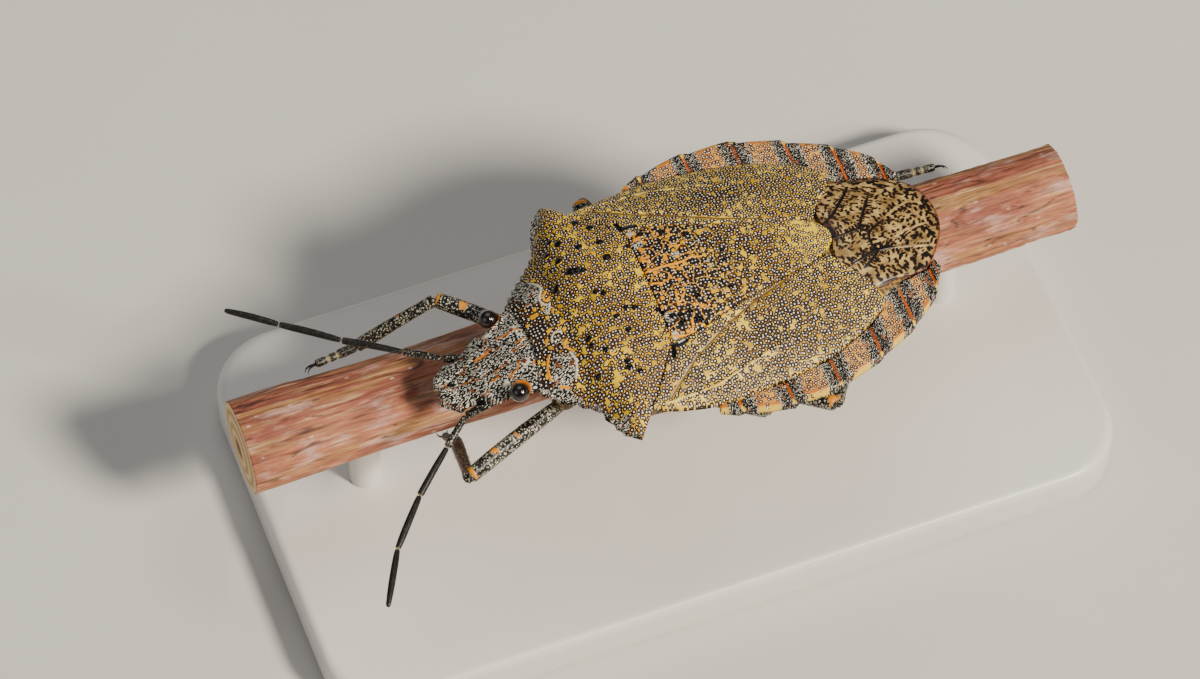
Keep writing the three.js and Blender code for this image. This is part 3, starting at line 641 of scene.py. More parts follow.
# %% Build the pronotum
TOOTH_PITCH = 0.27
TOOTH_HEIGHT = 0.09
CREAM_HOOKS = [
    [(-4.6, 1.85), (-4.4, 1.43), (-4.57, 1.07), (-4.55, 0.83), (-4.45, 0.74)],
    [(-4.37, 0.74), (-4.43, 0.58), (-4.54, 0.46)],
    [(-4.39, -0.33), (-4.55, -0.25), (-4.69, -0.35), (-4.73, -0.5)],
    [(-4.38, -1.07), (-4.31, -1.31), (-4.34, -1.55), (-4.47, -1.83)],
]
CRESCENTS = [
    [(-4.32, 1.21), (-4.45, 1.06), (-4.43, 0.9), (-4.3, 0.94)],
    [(-4.31, -0.63), (-4.46, -0.7), (-4.43, -0.86), (-4.3, -1.03)],
    [(-4.96, -0.83), (-5.07, -1.03), (-5.15, -1.24), (-5.13, -1.52)],
    [(-4.96, -1.8), (-4.74, -1.95)],
]
HOOK_WIDTH = 0.038


def toothed_shoulder():
    u = np.linspace(0, 1, 241)
    side = spline(SHOULDER, u)
    way = np.gradient(side, axis=0)
    way /= np.linalg.norm(way, axis=1, keepdims=True)
    out = np.stack([way[:, 1], -way[:, 0]], -1)
    run = np.concatenate([[0], np.linalg.norm(np.diff(side, axis=0), axis=1).cumsum()])
    saw = (run / TOOTH_PITCH) % 1
    rise = np.minimum(saw / 0.7, (1 - saw) / 0.3)
    fade = np.clip(u / 0.08, 0, 1) * np.clip((0.93 - u) / 0.12, 0, 1)
    return [tuple(p) for p in side + out * (TOOTH_HEIGHT * rise * fade)[:, None]]


teeth = toothed_shoulder()
pronotum_edges = {
    "front": across_body(NECK),
    "rear": across_body([(-3.32, -4.38), *WING_ROOT, *SCUTELLUM_BASE[1:]]),
    "left": teeth,
    "right": mirror(teeth),
}


def pronotum_top(grid):
    shape = back(grid.x, grid.y)
    shape = shape + 0.09 * near(grid, -4.75, 1.35, 0.42) - 0.05 * near(grid, -4.5, 0.55, 0.14)
    shape = shape + 0.08 * near(grid, -3.5, 1.25, 0.6) + 0.1 * near(grid, -3.4, 3.75, 0.4)
    shape = shape - 0.07 * np.exp(-(((grid.x + 4.22) / 0.2) ** 2)) * np.clip(grid.side / 0.8, 0, 1)
    shape = shape + 0.03 * near_line(grid, [(-5.2, 0), (-1.6, 0)], 0.12)
    marks = np.maximum(drawn(grid, CREAM_HOOKS, HOOK_WIDTH), drawn(grid, CRESCENTS, HOOK_WIDTH))
    return shape + rolled(grid, edges=("side", "behind")) + domes(knob_field(grid)) + 0.025 * marks


pronotum, grid = plate(
    "bug_pronotum", pronotum_edges, FINE, pronotum_top, lambda g: back(g.x, g.y) - SHELL - 0.05, bulge=0.05
)
knobs = knob_field(grid)
hooks = drawn(grid, CREAM_HOOKS, HOOK_WIDTH)
crescents = drawn(grid, CRESCENTS, HOOK_WIDTH)
collar = np.exp(-((grid.ahead / 0.2) ** 2))
shoulder_rim = np.exp(-((grid.side / 0.22) ** 2)) * (grid.x < -3.2)
scars = near(grid, -4.72, 1.38, 0.46, 0.75) + near(grid, -4.55, 0.55, 0.13)
scars = scars + 0.4 * near(grid, -4.95, 1.9, 0.4)
point = near(grid, -3.6, 3.7, 0.3)
dark = np.clip(0.35 * collar + 0.5 * shoulder_rim + scars + 0.35 * point, 0, 1)
islands = near(grid, -2.95, -1.75, 0.3, both=False) + near(grid, -3.1, 1.6, 0.3, both=False)
paint(
    pronotum, grid, dark=dark, knob=knobs, white=hooks, streak=crescents * 0.95,
    orange=np.clip(0.5 * np.exp(-((grid.ahead / 1.2) ** 2)) + 0.3 * near(grid, -3.3, 3.5, 0.35), 0, 1),
    smooth=0.12 * islands + 0.03, crowd=0.25 + 0.5 * np.exp(-((grid.ahead / 0.9) ** 2)), sooty=0.05,
    pitting=(knobs <= 0) * (1 - dark) * (1 - hooks), warty=(knobs <= 0) * dark * (1 - hooks),
)
press(pronotum, "back")
finish(pronotum, back_cuticle, "back_cuticle", "pronotum")
print("pronotum faces:", len(pronotum.data.polygons))

# %% [markdown]
# ## Scutellum
#
# The scutellum is the long triangle between the wings. Its ground is the warmest of the whole
# back. Smooth orange lines enclose clusters of black pits on its front half, black knobs fill
# the left base corner, and the tip is pale yellow.

# %% Build the scutellum
scutellum_edges = {
    "front": across_body(SCUTELLUM_BASE),
    "rear": across_body([(4.16, -0.46), (4.36, -0.25), (4.42, 0)]),
    "left": [*SCUTELLUM_SIDE, (4.16, -0.46)],
    "right": mirror([*SCUTELLUM_SIDE, (4.16, -0.46)]),
}
ORANGE_LINES = [
    [(-1.54, 0.32), (-1.19, 0.32), (-0.72, 0.32), (-0.31, 0.31), (0.02, 0.39), (0.34, 0.31)],
    [(-1.5, -0.1), (-1.34, -0.14), (-1.16, -0.2)],
    [(-1.54, 1.1), (-1.44, 0.78), (-1.2, 0.64)],
    [(-1.52, -0.62), (-1.44, -0.78)],
    [(-0.85, -0.66), (-0.92, -1.08)],
    [(-1.62, -1.68), (-1.56, -1.9), (-1.31, -1.97), (-1.04, -2.03), (-0.71, -2.0)],
    [(-0.69, -1.63), (-0.76, -1.88), (-0.85, -2.0)],
    [(-1.66, -1.25), (-1.6, -1.6)],
]
LINE_WIDTH = 0.038
YELLOW_SPOT = (1.6, 0.0, 0.1)


def scutellum_top(grid):
    shape = back(grid.x, grid.y)
    shape = shape + 0.06 * near(grid, -0.9, 0.7, 0.5) + 0.02 * drawn(grid, ORANGE_LINES, LINE_WIDTH)
    shape = shape + 0.03 * near_line(grid, [(1.2, 0), (4.2, 0)], 0.2)
    return shape + rolled(grid) + domes(knob_field(grid))


scutellum, grid = plate(
    "bug_scutellum", scutellum_edges, FINE, scutellum_top, lambda g: back(g.x, g.y) - SHELL - 0.05, bulge=0.02
)
knobs = knob_field(grid)
lines = drawn(grid, ORANGE_LINES, LINE_WIDTH)
front_part = np.clip(1.0 - (grid.x + 0.2) / 2.2, 0, 1)
tip = np.clip((grid.x - 2.4) / 1.2, 0, 1)
smears = near(grid, -0.35, 0.62, 0.16, 1.6) + near(grid, 0.35, 0.85, 0.14, 1.8)
smears = smears + near(grid, 0.5, 0.1, 0.12, 2)
corner = near(grid, -1.3, 1.35, 0.22, 1.2)
dark = np.clip(0.55 * smears + 0.7 * corner, 0, 1)
paint(
    scutellum, grid, dark=dark * (1 - lines), knob=knobs, streak=lines,
    white=near(grid, -1.34, 1.93, 0.14), orange=np.clip(0.8 - 0.26 * (grid.x + 1.2), 0, 1), pale=0.6 * tip,
    smooth=0.03 * tip + 0.01 + 0.4 * near(grid, *YELLOW_SPOT, both=False),
    network=0.9 * front_part + 0.15, crowd=0.4 + 0.5 * front_part - 0.4 * tip,
    pitting=(knobs <= 0) * (1 - lines) * (1 - dark), warty=(knobs <= 0) * dark,
)
press(scutellum, "back")
finish(scutellum, back_cuticle, "back_cuticle", "scutellum")
print("scutellum faces:", len(scutellum.data.polygons))

# %% [markdown]
# ## Wing cases
#
# Each folded forewing has a leathery front part, the corium. A furrow runs beside the
# scutellum, painted darker as painted shade, and one smooth cream vein runs parallel to the
# outer edge. The left and right cases are the same plate, mirrored by swapping its edges.

# %% Build both coria
CORIUM_REAR = [(5.2, -2.55), (5.22, -2.2), (4.92, -1.68), (4.42, -1.12), (4.14, -0.7)]
MAIN_VEIN = [(-2.3, 3.68), (-0.58, 3.62), (1.07, 3.2), (2.0, 2.95)]
FURROW = [(-2.1, 3.55), (-0.98, 2.72), (0.37, 2.02), (1.4, 1.55), (2.6, 1.15)]
COSTA_REACH = 0.3
CORNER_PIT = [(-1.6, 2.5), (-1.5, 2.2), (-1.32, 2.22), (-1.08, 2.17)]
left_corium = {
    "front": WING_ROOT, "rear": CORIUM_REAR, "left": WING_SIDE, "right": [*SCUTELLUM_SIDE, (4.14, -0.7)],
}
right_corium = {
    "front": mirror(WING_ROOT)[::-1],
    "rear": mirror(CORIUM_REAR)[::-1],
    "left": mirror(left_corium["right"]),
    "right": mirror(WING_SIDE),
}


def corium_top(grid):
    shape = back(grid.x, grid.y) + 0.04 * near_line(grid, MAIN_VEIN, 0.07)
    shape = shape - 0.06 * near_line(grid, FURROW, 0.07) - 0.05 * near_line(grid, CORNER_PIT, 0.1)
    return shape + rolled(grid, 0.06, 0.08)


for side, edges in (("left", left_corium), ("right", right_corium)):
    corium, grid = plate(
        f"bug_corium_{side}", edges, FINE, corium_top, lambda g: back(g.x, g.y) - SHELL, bulge=0.02
    )
    outer = grid.left if side == "left" else grid.right
    vein = near_line(grid, MAIN_VEIN, 0.028) * np.clip((2.1 - grid.x) / 1.5, 0, 1)
    costa = np.exp(-((outer / COSTA_REACH) ** 2))
    rear_edge = np.exp(-((grid.behind / 0.09) ** 2))
    # Painted shade: the furrow beside the scutellum is painted dark brown through the groove field.
    furrow = near_line(grid, FURROW, 0.05)
    clouds = near(grid, 1.6, 2.5, 0.5, 2.0)
    pit = np.clip(2 * near_line(grid, CORNER_PIT, 0.1) - 0.9, 0, 1)
    paint(
        corium, grid, knob=0.3 * pit, groove=0.8 * furrow,
        orange=np.clip(0.3 * costa + 0.5 * rear_edge, 0, 1),
        pale=np.clip(0.3 * vein + 0.25 * costa, 0, 0.8), smooth=0.3 * np.maximum(vein, furrow) + 0.02 * costa,
        crowd=0.25 - 0.3 * costa + 0.3 * clouds, pitting=(1 - np.maximum(vein, furrow)) * (pit <= 0),
    )
    press(corium, "back")
    finish(corium, wing_cuticle, "back_cuticle", f"forewing_{side}_corium")
    print(corium.name, "faces:", len(corium.data.polygons))

# %% [markdown]
# ## Wing membrane
#
# Behind the wing cases the forewings are thin and tan, and the left one lies over the right.
# Black veins fan out from a small cell near the scutellum's tip and fade to pale lines near the
# rim. Short dark teeth stand on both sides of every vein like those of a comb, and the rest is
# covered with small curved marks that run together near the rim. All of it is drawn as short
# strokes: every point of a fine grid learns how near it is to the closest one.

# %% Veins
MEMBRANE_FRONT = [(5.16, -2.02), (4.85, -1.68), (4.38, -1.12), (4.28, -0.62), (4.42, 0)]
MEMBRANE_SIDE = [(5.16, -2.02), (5.7, -1.9), (6.3, -1.87)]
MEMBRANE_REAR = [(6.3, -1.87), (6.85, -1.76), (7.24, -1.43), (7.74, -0.72), (7.93, -0.1)]
FAR_REAR = [(7.91, 0.48), (7.72, 0.96), (7.36, 1.3), (6.5, 1.78)]
VEINS = [
    [(4.4, -0.15), (4.87, -0.11), (5.33, -0.02)],
    [(5.33, -0.02), (5.57, 0.35), (5.93, 0.87), (6.15, 1.2)],
    [(5.33, -0.02), (5.6, -0.18), (6.04, 0.04), (6.6, 0.38), (7.15, 0.6)],
    [(4.39, 0.44), (4.78, 0.7), (5.05, 0.96), (5.31, 1.23), (5.6, 1.6)],
    [(4.99, -1.38), (5.38, -1.11), (5.62, -0.91), (5.92, -0.8), (6.51, -0.45), (7.04, -0.34), (7.4, -0.28)],
    [(5.62, -0.91), (6.02, -0.89), (6.39, -0.94), (6.95, -1.02), (7.45, -1.1)],
    [(5.6, -0.18), (5.5, -0.52), (5.55, -0.83)],
    [(5.54, -0.86), (4.96, -1.09), (4.74, -1.15)],
]
VEIN_HALF_WIDTH = 0.044
VEIN_FADES_FROM, VEIN_FADES_TO = 5.9, 6.7
vein_runs = [spline(vein, np.linspace(0, 1, 40)) for vein in VEINS]
vein_points = np.concatenate([run[:-1] for run in vein_runs])
vein_ways = np.concatenate([np.diff(run, axis=0) for run in vein_runs])
vein_ways /= np.linalg.norm(vein_ways, axis=1, keepdims=True)
print("veins:", len(VEINS), "with", len(vein_points), "points")

# %% Comb teeth and curved marks
TOOTH_SPACING = 0.1
MARK_SPACING = 0.165
dice = random.Random(7)


def comb_teeth():
    strokes = []
    for run in vein_runs:
        reach = np.concatenate([[0], np.linalg.norm(np.diff(run, axis=0), axis=1).cumsum()])
        for at in np.arange(0.06, reach[-1], TOOTH_SPACING):
            i = min(int(np.searchsorted(reach, at)), len(run) - 2)
            ahead = (run[i + 1] - run[i]) / np.linalg.norm(run[i + 1] - run[i])
            for sign in (-1, 1):
                out = np.array([-ahead[1], ahead[0]]) * sign + ahead * dice.uniform(-0.1, 0.6)
                start = run[i] + out * dice.choice((0.0, 0.03, 0.08))
                strokes.append((start, start + out * dice.uniform(0.06, 0.19), dice.uniform(0.018, 0.028)))
    return strokes


def curved_marks():
    strokes = []
    for x in np.arange(4.3, 8.0, MARK_SPACING):
        for y in np.arange(-2.3, 2.3, MARK_SPACING):
            place = np.array([x + dice.uniform(-0.08, 0.08), y + dice.uniform(-0.08, 0.08)])
            gaps = np.linalg.norm(vein_points - place, axis=1)
            k = int(gaps.argmin())
            if gaps[k] < 0.17:
                continue
            rim = min(1.0, math.hypot((place[0] - 5.5) / 2.3, place[1] / 1.9))
            turn = math.atan2(vein_ways[k][0], -vein_ways[k][1]) + dice.uniform(-0.7, 0.7)
            width = dice.uniform(0.02, 0.03) + 0.05 * max(0.0, rim - 0.62)
            for _ in range(dice.choice((1, 2, 2, 3))):
                ahead = np.array([math.cos(turn), math.sin(turn)]) * dice.uniform(0.04, 0.1)
                strokes.append((place, place + ahead, width))
                place = place + ahead
                turn += dice.uniform(-1.5, 1.5)
    return strokes


strokes = comb_teeth() + curved_marks()
print("strokes on the membrane:", len(strokes))


# %% The membrane's own material
def membrane_material():
    material, tree, surface = new_material(
        "thin veined wing membrane", IOR=1.55, Roughness=0.36, Specular_IOR_Level=0.4
    )
    place = add(tree, "ShaderNodeTexCoord").outputs["Object"]
    cloud = add(tree, "ShaderNodeTexNoise", {"Vector": place, "Scale": 2600.0, "Detail": 3.0})
    grain = add(tree, "ShaderNodeTexNoise", {"Vector": place, "Scale": 8000.0, "Detail": 2.0})
    tan = blend(tree, step(tree, cloud, 0.3, 0.7), "#836838", "#c4a86c")
    lit = blend(tree, step(tree, painted(tree, "pale_vein"), 0.3, 1.0, 0.7), tan, "#c4a466")
    warm = blend(tree, painted(tree, "rim"), lit, "#6a2410")
    # The marks field also holds the painted shade in front of the scutellum's tip.
    ragged = maths(tree, "MULTIPLY_ADD", grain, 0.6, painted(tree, "mark"))
    faint = blend(tree, step(tree, ragged, 0.18, 0.42), warm, "#4a2410")
    colour = blend(tree, step(tree, ragged, 0.36, 0.6), faint, "#0f0806")
    tree.links.new(colour, surface.inputs["Base Color"])
    bump = add(tree, "ShaderNodeBump", {"Height": grain, "Strength": 0.3, "Distance": 0.000012})
    tree.links.new(bump.outputs[0], surface.inputs["Normal"])
    return material


membrane_skin = membrane_material()

# %% Build the lower and the upper membrane
MEMBRANE_LIFT = 0.05


def stroke_field(grid, lines):
    field = np.full(grid.x.shape, -1.0)
    for a, b, width in lines:
        low = np.minimum(a, b) - 2 * width
        high = np.maximum(a, b) + 2 * width
        here = (grid.x > low[0]) & (grid.x < high[0]) & (grid.y > low[1]) & (grid.y < high[1])
        if here.any():
            gap = line_distance(grid.x[here], grid.y[here], [a, b])
            field[here] = np.maximum(field[here], 1 - gap / width)
    return field


def vein_field(grid):
    gaps = np.min([line_distance(grid.x, grid.y, run) for run in vein_runs], axis=0)
    return 1 - gaps / VEIN_HALF_WIDTH


def membrane_top(lift):
    def top(grid):
        ridge = 0.03 * np.clip(vein_field(grid), 0, 1)
        edge = np.minimum(grid.side, grid.behind)
        tucked = 0.06 * np.exp(-((grid.ahead / 0.5) ** 2))
        return back(grid.x, grid.y) - 0.1 + lift + ridge - tucked - 0.04 * np.exp(-((edge / 0.12) ** 2))

    return top


upper_rear = [*across_body(MEMBRANE_REAR)[:5], *FAR_REAR]
lower_rear = [(x - 0.03, y + 0.17) for x, y in upper_rear]
for name, lift, rear in (("lower", 0.0, lower_rear), ("upper", MEMBRANE_LIFT, upper_rear)):
    edges = {
        "front": across_body(MEMBRANE_FRONT),
        "rear": rear,
        "left": [*MEMBRANE_SIDE[:2], rear[0]],
        "right": [*mirror(MEMBRANE_SIDE[:2]), rear[-1]],
    }
    membrane, grid = plate(
        f"bug_membrane_{name}", edges, 0.022, membrane_top(lift), lambda g: membrane_top(lift)(g) - 0.04,
        rings=1,
    )
    edge = np.minimum(grid.side, grid.behind)
    fades = np.clip((VEIN_FADES_TO - grid.x) / (VEIN_FADES_TO - VEIN_FADES_FROM), 0, 1)
    veins = vein_field(grid)
    black_vein = veins * fades - (1 - fades)
    pale_vein = np.clip(veins, 0, 1) * (1 - fades)
    teeth_and_marks = np.where(pale_vein > 0.1, -0.5, stroke_field(grid, strokes))
    # Painted shade: a dark patch on the membrane in front of the scutellum's tip, carried with the marks.
    front_shade = 0.62 * near(grid, 4.42, 0.1, 0.3, 0.6, False) - 0.1
    mark = np.maximum(np.maximum(black_vein, teeth_and_marks), front_shade)
    inside_rim = 1 - np.exp(-((edge / 0.06) ** 2))
    paint(
        membrane, grid, mark=np.clip(mark, -0.3, 1) * inside_rim, pale_vein=pale_vein,
        rim=np.exp(-((edge / 0.09) ** 2)),
    )
    finish(membrane, membrane_skin, "wing_membrane", "forewing_membrane")
    print(membrane.name, "faces:", len(membrane.data.polygons))

# %% [markdown]
# ## Connexivum: the banded margin
#
# The flat edge of the abdomen shows beside the wings. Six seams divide it into segments, and
# each segment ends in a small backward point. At each seam an orange stripe lies between two
# black patches with white wrinkles, and the stripe's outer end is golden. The middle of a
# segment is peach with a thin cream rim.

# %% Build the banded margin
connexivum_outer = profile([
    (-0.75, 4.2), (0.1, 4.5), (0.8, 4.66), (1.8, 4.71), (2.7, 4.66), (3.5, 4.46), (4.4, 4.12), (5.2, 3.75),
    (6, 3.28), (6.6, 2.82), (7.0, 2.36), (7.34, 1.75),
])
MARGIN_FROM, MARGIN_TO = -0.75, 7.34
SUTURES = [-0.1, 1.42, 2.97, 4.5, 5.82, 6.95]
SUTURE_TOOTH = 0.11
CONNEXIVUM_INNER = [
    (-0.75, -4.06), (0.8, -4.04), (1.9, -3.93), (2.9, -3.72), (3.8, -3.4), (4.6, -3.0), (5.24, -2.5),
    (5.34, -2.12), (5.75, -1.91), (6.4, -1.86), (6.9, -1.76), (7.22, -1.45),
]


def along_segment(x):
    """How far x is along its own segment, from 0 just behind a suture to 1 at the next one."""
    stops = np.array([MARGIN_FROM - 0.8, *SUTURES, MARGIN_TO + 0.4])
    i = np.clip(np.searchsorted(stops, x, side="right") - 1, 0, len(stops) - 2)
    return (x - stops[i]) / (stops[i + 1] - stops[i])


def off_suture(x):
    return np.min([np.abs(x - s) for s in SUTURES], axis=0)


def scalloped_margin():
    x = np.linspace(MARGIN_FROM, MARGIN_TO, 260)
    tooth = SUTURE_TOOTH * along_segment(x) ** 3
    return [(a, -(b + c)) for a, b, c in zip(x, connexivum_outer(x), tooth)]


def margin_top(grid, outer_side):
    along = along_segment(grid.x)
    swell = 0.05 * np.sin(np.pi * np.clip(along, 0, 1)) + 0.03 * along
    seam = 0.07 * np.exp(-((off_suture(grid.x) / 0.04) ** 2))
    return swell - 0.03 - seam + rolled(grid, 0.05, 0.06, (outer_side, "ahead", "behind"))


margin_edge = scalloped_margin()
left_margin = {
    "front": [margin_edge[0], CONNEXIVUM_INNER[0]],
    "rear": [margin_edge[-1], CONNEXIVUM_INNER[-1]],
    "left": margin_edge,
    "right": CONNEXIVUM_INNER,
}
right_margin = {
    "front": mirror(left_margin["front"])[::-1],
    "rear": mirror(left_margin["rear"])[::-1],
    "left": mirror(CONNEXIVUM_INNER),
    "right": mirror(margin_edge),
}
for side, edges in (("left", left_margin), ("right", right_margin)):
    margin, grid = plate(
        f"bug_connexivum_{side}", edges, FINE, lambda g, s=side: margin_top(g, s), lambda g: g.x * 0 - 0.3,
        bulge=0.02,
    )
    off = off_suture(grid.x)
    outer = getattr(grid, side)
    stripe = np.exp(-((off / 0.045) ** 2)) * np.clip((outer - 0.2) / 0.14, 0, 1)
    black = np.clip((0.45 - off) / 0.07, 0, 1)
    black = np.maximum(black, near(grid, 5.6, 2.15, 0.35, 1.8))
    peach = np.exp(-((outer / 0.24) ** 4)) * (1 - black)
    rim = np.exp(-((outer / 0.07) ** 2)) * (1 - black)
    gold = np.exp(-(((outer - 0.14) / 0.13) ** 2)) * np.exp(-((off / 0.085) ** 2))
    soot = np.clip((0.4 - off) / 0.15, 0, 1)
    paint(
        margin, grid, dark=black * (1 - stripe) * (1 - gold), streak=0.9 * stripe, sooty=0.05 + 0.12 * soot,
        orange=np.clip(0.2 + 0.4 * peach + 0.1 * gold, 0, 1), pale=np.clip(0.75 * rim + 0.75 * gold, 0, 1),
        crowd=-0.1, smooth=0.5 * np.maximum(stripe, gold) + 0.3 * peach,
        pitting=0.4 * (1 - black), warty=black,
    )
    press(margin, "margin")
    finish(margin, margin_cuticle, "margin_cuticle", f"connexivum_{side}")
    print(margin.name, "faces:", len(margin.data.polygons))

# %% [markdown]
# ## Head
#
# The head slopes down in front of the pronotum. Two long side lobes close in front of the narrow
# snout plate and leave a notch, with a small tooth beside each. The black cuticle is crowded with
# raised white worms, with orange streaks in the grooves and an orange ring behind each eye.

# %% Head shape
HEAD_FRONT = [
    (-7.72, -0.9), (-7.86, -0.74), (-8.02, -0.6), (-8.2, -0.42), (-8.22, -0.22), (-8.06, -0.07),
    (-7.78, 0),
]
HEAD_SIDE = [
    (-7.72, -0.9), (-7.45, -0.75), (-7.2, -0.84), (-7.0, -0.93), (-6.75, -1.15), (-6.55, -1.17),
    (-6.3, -1.06), (-5.95, -1.4), (-5.47, -1.5),
]
HEAD_TURNS_AT, HEAD_TURN = -6.3, 0.12
TUCKED_IN = 0.08
head_edges = {
    "front": across_body(HEAD_FRONT), "rear": across_body([(x + TUCKED_IN, y) for x, y in NECK]),
    "left": HEAD_SIDE, "right": mirror(HEAD_SIDE),
}
head_midline = profile([(-8.2, -1.3), (-7.6, -1.08), (-7, -0.72), (-6.4, -0.32), (-6, -0.1), (-5.5, 0.1)])
head_half_width = profile([(-8.2, 0.62), (-7.7, 0.9), (-7.2, 1.02), (-6.7, 1.24), (-6, 1.42), (-5.5, 1.5)])
head_underside = profile([(-8.2, -1.7), (-7.4, -1.78), (-6.4, -1.72), (-5.4, -1.5)])
SNOUT_GROOVE = [(-8.0, 0.03), (-7.7, 0.12), (-7.4, 0.2), (-7.0, 0.27), (-6.3, 0.3), (-5.9, 0.4)]
HEAD_STREAKS = [
    [(-6.19, -0.75), (-6.01, -0.71), (-5.85, -0.63), (-5.8, -0.5)],
    [(-5.45, -0.78), (-5.3, -0.66)],
    [(-5.66, 0.1), (-5.4, 0.14)],
    [(-6.15, 0.58), (-5.86, 0.54), (-5.64, 0.56), (-5.44, 0.5)],
    [(-6.55, -0.4), (-6.3, -0.34)],
    [(-6.9, 0.3), (-6.5, 0.33)],
    [(-7.2, -0.3), (-6.95, -0.33)],
    [(-6.75, -0.62), (-6.5, -0.6)],
]


def eye_distance(grid):
    return np.hypot(grid.x - EYE_CENTRE[0], np.abs(grid.y) - EYE_CENTRE[1])


def head_top(grid):
    out = np.minimum(np.abs(grid.y) / head_half_width(grid.x), 1)
    shape = head_midline(grid.x) - 0.3 * out**2.2 - 0.08 * near_line(grid, SNOUT_GROOVE, 0.06)
    shape = shape + 0.05 * near(grid, -5.65, 0.6, 0.16) + 0.05 * near(grid, -6.9, 0.65, 0.35)
    shape = shape + 0.06 * near(grid, -6.36, 0.9, 0.11) + 0.025 * drawn(grid, HEAD_STREAKS, 0.04)
    socket = 0.1 * np.exp(-(((eye_distance(grid) - EYE_RADIUS - 0.05) / 0.07) ** 2))
    return shape + socket + rolled(grid, 0.08, 0.07, ("side", "ahead"))


def head_bottom(grid):
    out = np.minimum(np.abs(grid.y) / head_half_width(grid.x), 1)
    edge = head_midline(grid.x) - 0.3 - 0.14
    middle_height = np.minimum(head_underside(grid.x), edge)
    return edge + (middle_height - edge) * (1 - out**1.5)


def turn_aside(piece):
    """The front of the head points a few degrees to the right."""
    places = np.array([v.co for v in piece.data.vertices]) / MM - INSECT_AT
    places[:, 1] += HEAD_TURN * np.clip(HEAD_TURNS_AT - places[:, 0], 0, None)
    piece.data.vertices.foreach_set("co", ((places + INSECT_AT) * MM).ravel())
    piece.data.update()


head, grid = plate("bug_head", head_edges, 0.021, head_top, head_bottom, bulge=0.03, rings=4)
turn_aside(head)
eye_gap = eye_distance(grid) - EYE_RADIUS
groove = near_line(grid, SNOUT_GROOVE, 0.03)
# The orange ring is painted weaker behind the right eye (y > 0): painted shade on the far side of the head.
eye_ring_with_right_shade = np.exp(-(((eye_gap - 0.03) / 0.04) ** 2)) * (grid.x > -6.25) * np.where(grid.y > 0, 0.6, 1.0)
breaks = 0.5 + 0.5 * np.sin(grid.x * 11.0 + 1.0)
streaks = drawn(grid, HEAD_STREAKS, 0.028)
paint(
    head, grid, dark=1.0, streak=np.clip(eye_ring_with_right_shade + streaks + 0.6 * groove * breaks, 0, 1),
    white=0.75 * near(grid, -5.62, 0.62, 0.17) + near(grid, -6.36, 0.9, 0.09, 1.4),
    warty=1 - np.clip(eye_ring_with_right_shade + groove + streaks, 0, 1), sooty=0.06,
)
press(head, "back")
finish(head, head_cuticle, "head_cuticle", "head")
print("head faces:", len(head.data.polygons))

# %% [markdown]
# ## Eyes and ocelli
#
# A bug's compound eye is a glossy dark bead of hundreds of tiny facets. A real bead of the right
# size takes the light properly, with a fine honeycomb of facets in its surface. The two small
# red simple eyes (ocelli) near the back of the head are glassy domes.


# %% Bead material and shapes
def eye_material(name, deep, glow, facets):
    material, tree, surface = new_material(
        name, IOR=1.5, Roughness=0.12, Coat_Weight=0.6, Coat_Roughness=0.06
    )
    place = add(tree, "ShaderNodeTexCoord").outputs["Object"]
    cells = add(
        tree, "ShaderNodeTexVoronoi", {"Vector": place, "Scale": 1 / (facets * MM), "Randomness": 0.25},
        voronoi_dimensions="3D",
    )
    cloud = add(tree, "ShaderNodeTexNoise", {"Vector": place, "Scale": 5000.0, "Detail": 2.0})
    tree.links.new(blend(tree, cloud, deep, glow), surface.inputs["Base Color"])
    bump = add(
        tree, "ShaderNodeBump", {"Height": cells.outputs["Distance"], "Strength": 0.5, "Distance": 0.000008},
        invert=True,
    )
    tree.links.new(bump.outputs[0], surface.inputs["Normal"])
    return material


def bead(name, centre, radius, flatten=1.0):
    work = bmesh.new()
    bmesh.ops.create_icosphere(work, subdivisions=5, radius=1.0)
    points = np.array([v.co[:] for v in work.verts])
    faces = [[v.index for v in f.verts] for f in work.faces]
    work.free()
    bulge = 1 + 0.04 * points[:, 0:1] ** 2
    return make_piece(name, points * bulge * [radius, radius * flatten, radius] + np.array(centre), faces)


eye_skin = eye_material("faceted compound eye", "#080303", "#160806", 0.024)
ocellus_skin = eye_material("red glassy ocellus", "#4a0806", "#7c120c", 0.05)
for side, sign in (("left", -1), ("right", 1)):
    eye = bead(f"bug_eye_{side}", EYE_CENTRE * [1, sign, 1], EYE_RADIUS)
    finish(eye, eye_skin, "eye", f"eye_{side}")
    ocellus = bead(f"bug_ocellus_{side}", (-5.64, 0.58 * sign, float(head_midline(-5.64)) - 0.02), 0.075)
    finish(ocellus, ocellus_skin, "eye")
print("eye radius", EYE_RADIUS, "mm")

# %% [markdown]
# ## Trunk: thorax and abdomen from below
#
# Under the plates the body is a shallow keel. Its underside is paler than the back and only
# finely pitted, with a crease between the abdomen's segments and a dark breathing pore near
# each end of every crease. The hips are short stout stubs in three pairs.

# %% Underside surface
belly_midline = profile([(-5.4, -1.35), (-4, -1.62), (-1, -1.8), (2, -1.7), (5, -1.4), (7.2, -0.95)])
body_half_width = profile([
    (-5.5, 1.5), (-4.4, 2.5), (-3.5, 3.4), (-2, 3.7), (-0.4, 3.9), (1, 4.45), (2.5, 4.55), (4.4, 4.0),
    (6, 3.15), (7, 2.2), (7.4, 1.8),
])
BELLY_MARGIN = -0.5
WAIST = (-0.45, 3.85)


def belly(grid):
    out = np.minimum(np.abs(grid.y) / body_half_width(grid.x), 1)
    edge = np.minimum(BELLY_MARGIN, head_midline(-5.5) - 0.5)
    return edge + (belly_midline(grid.x) - edge) * (1 - out**2)


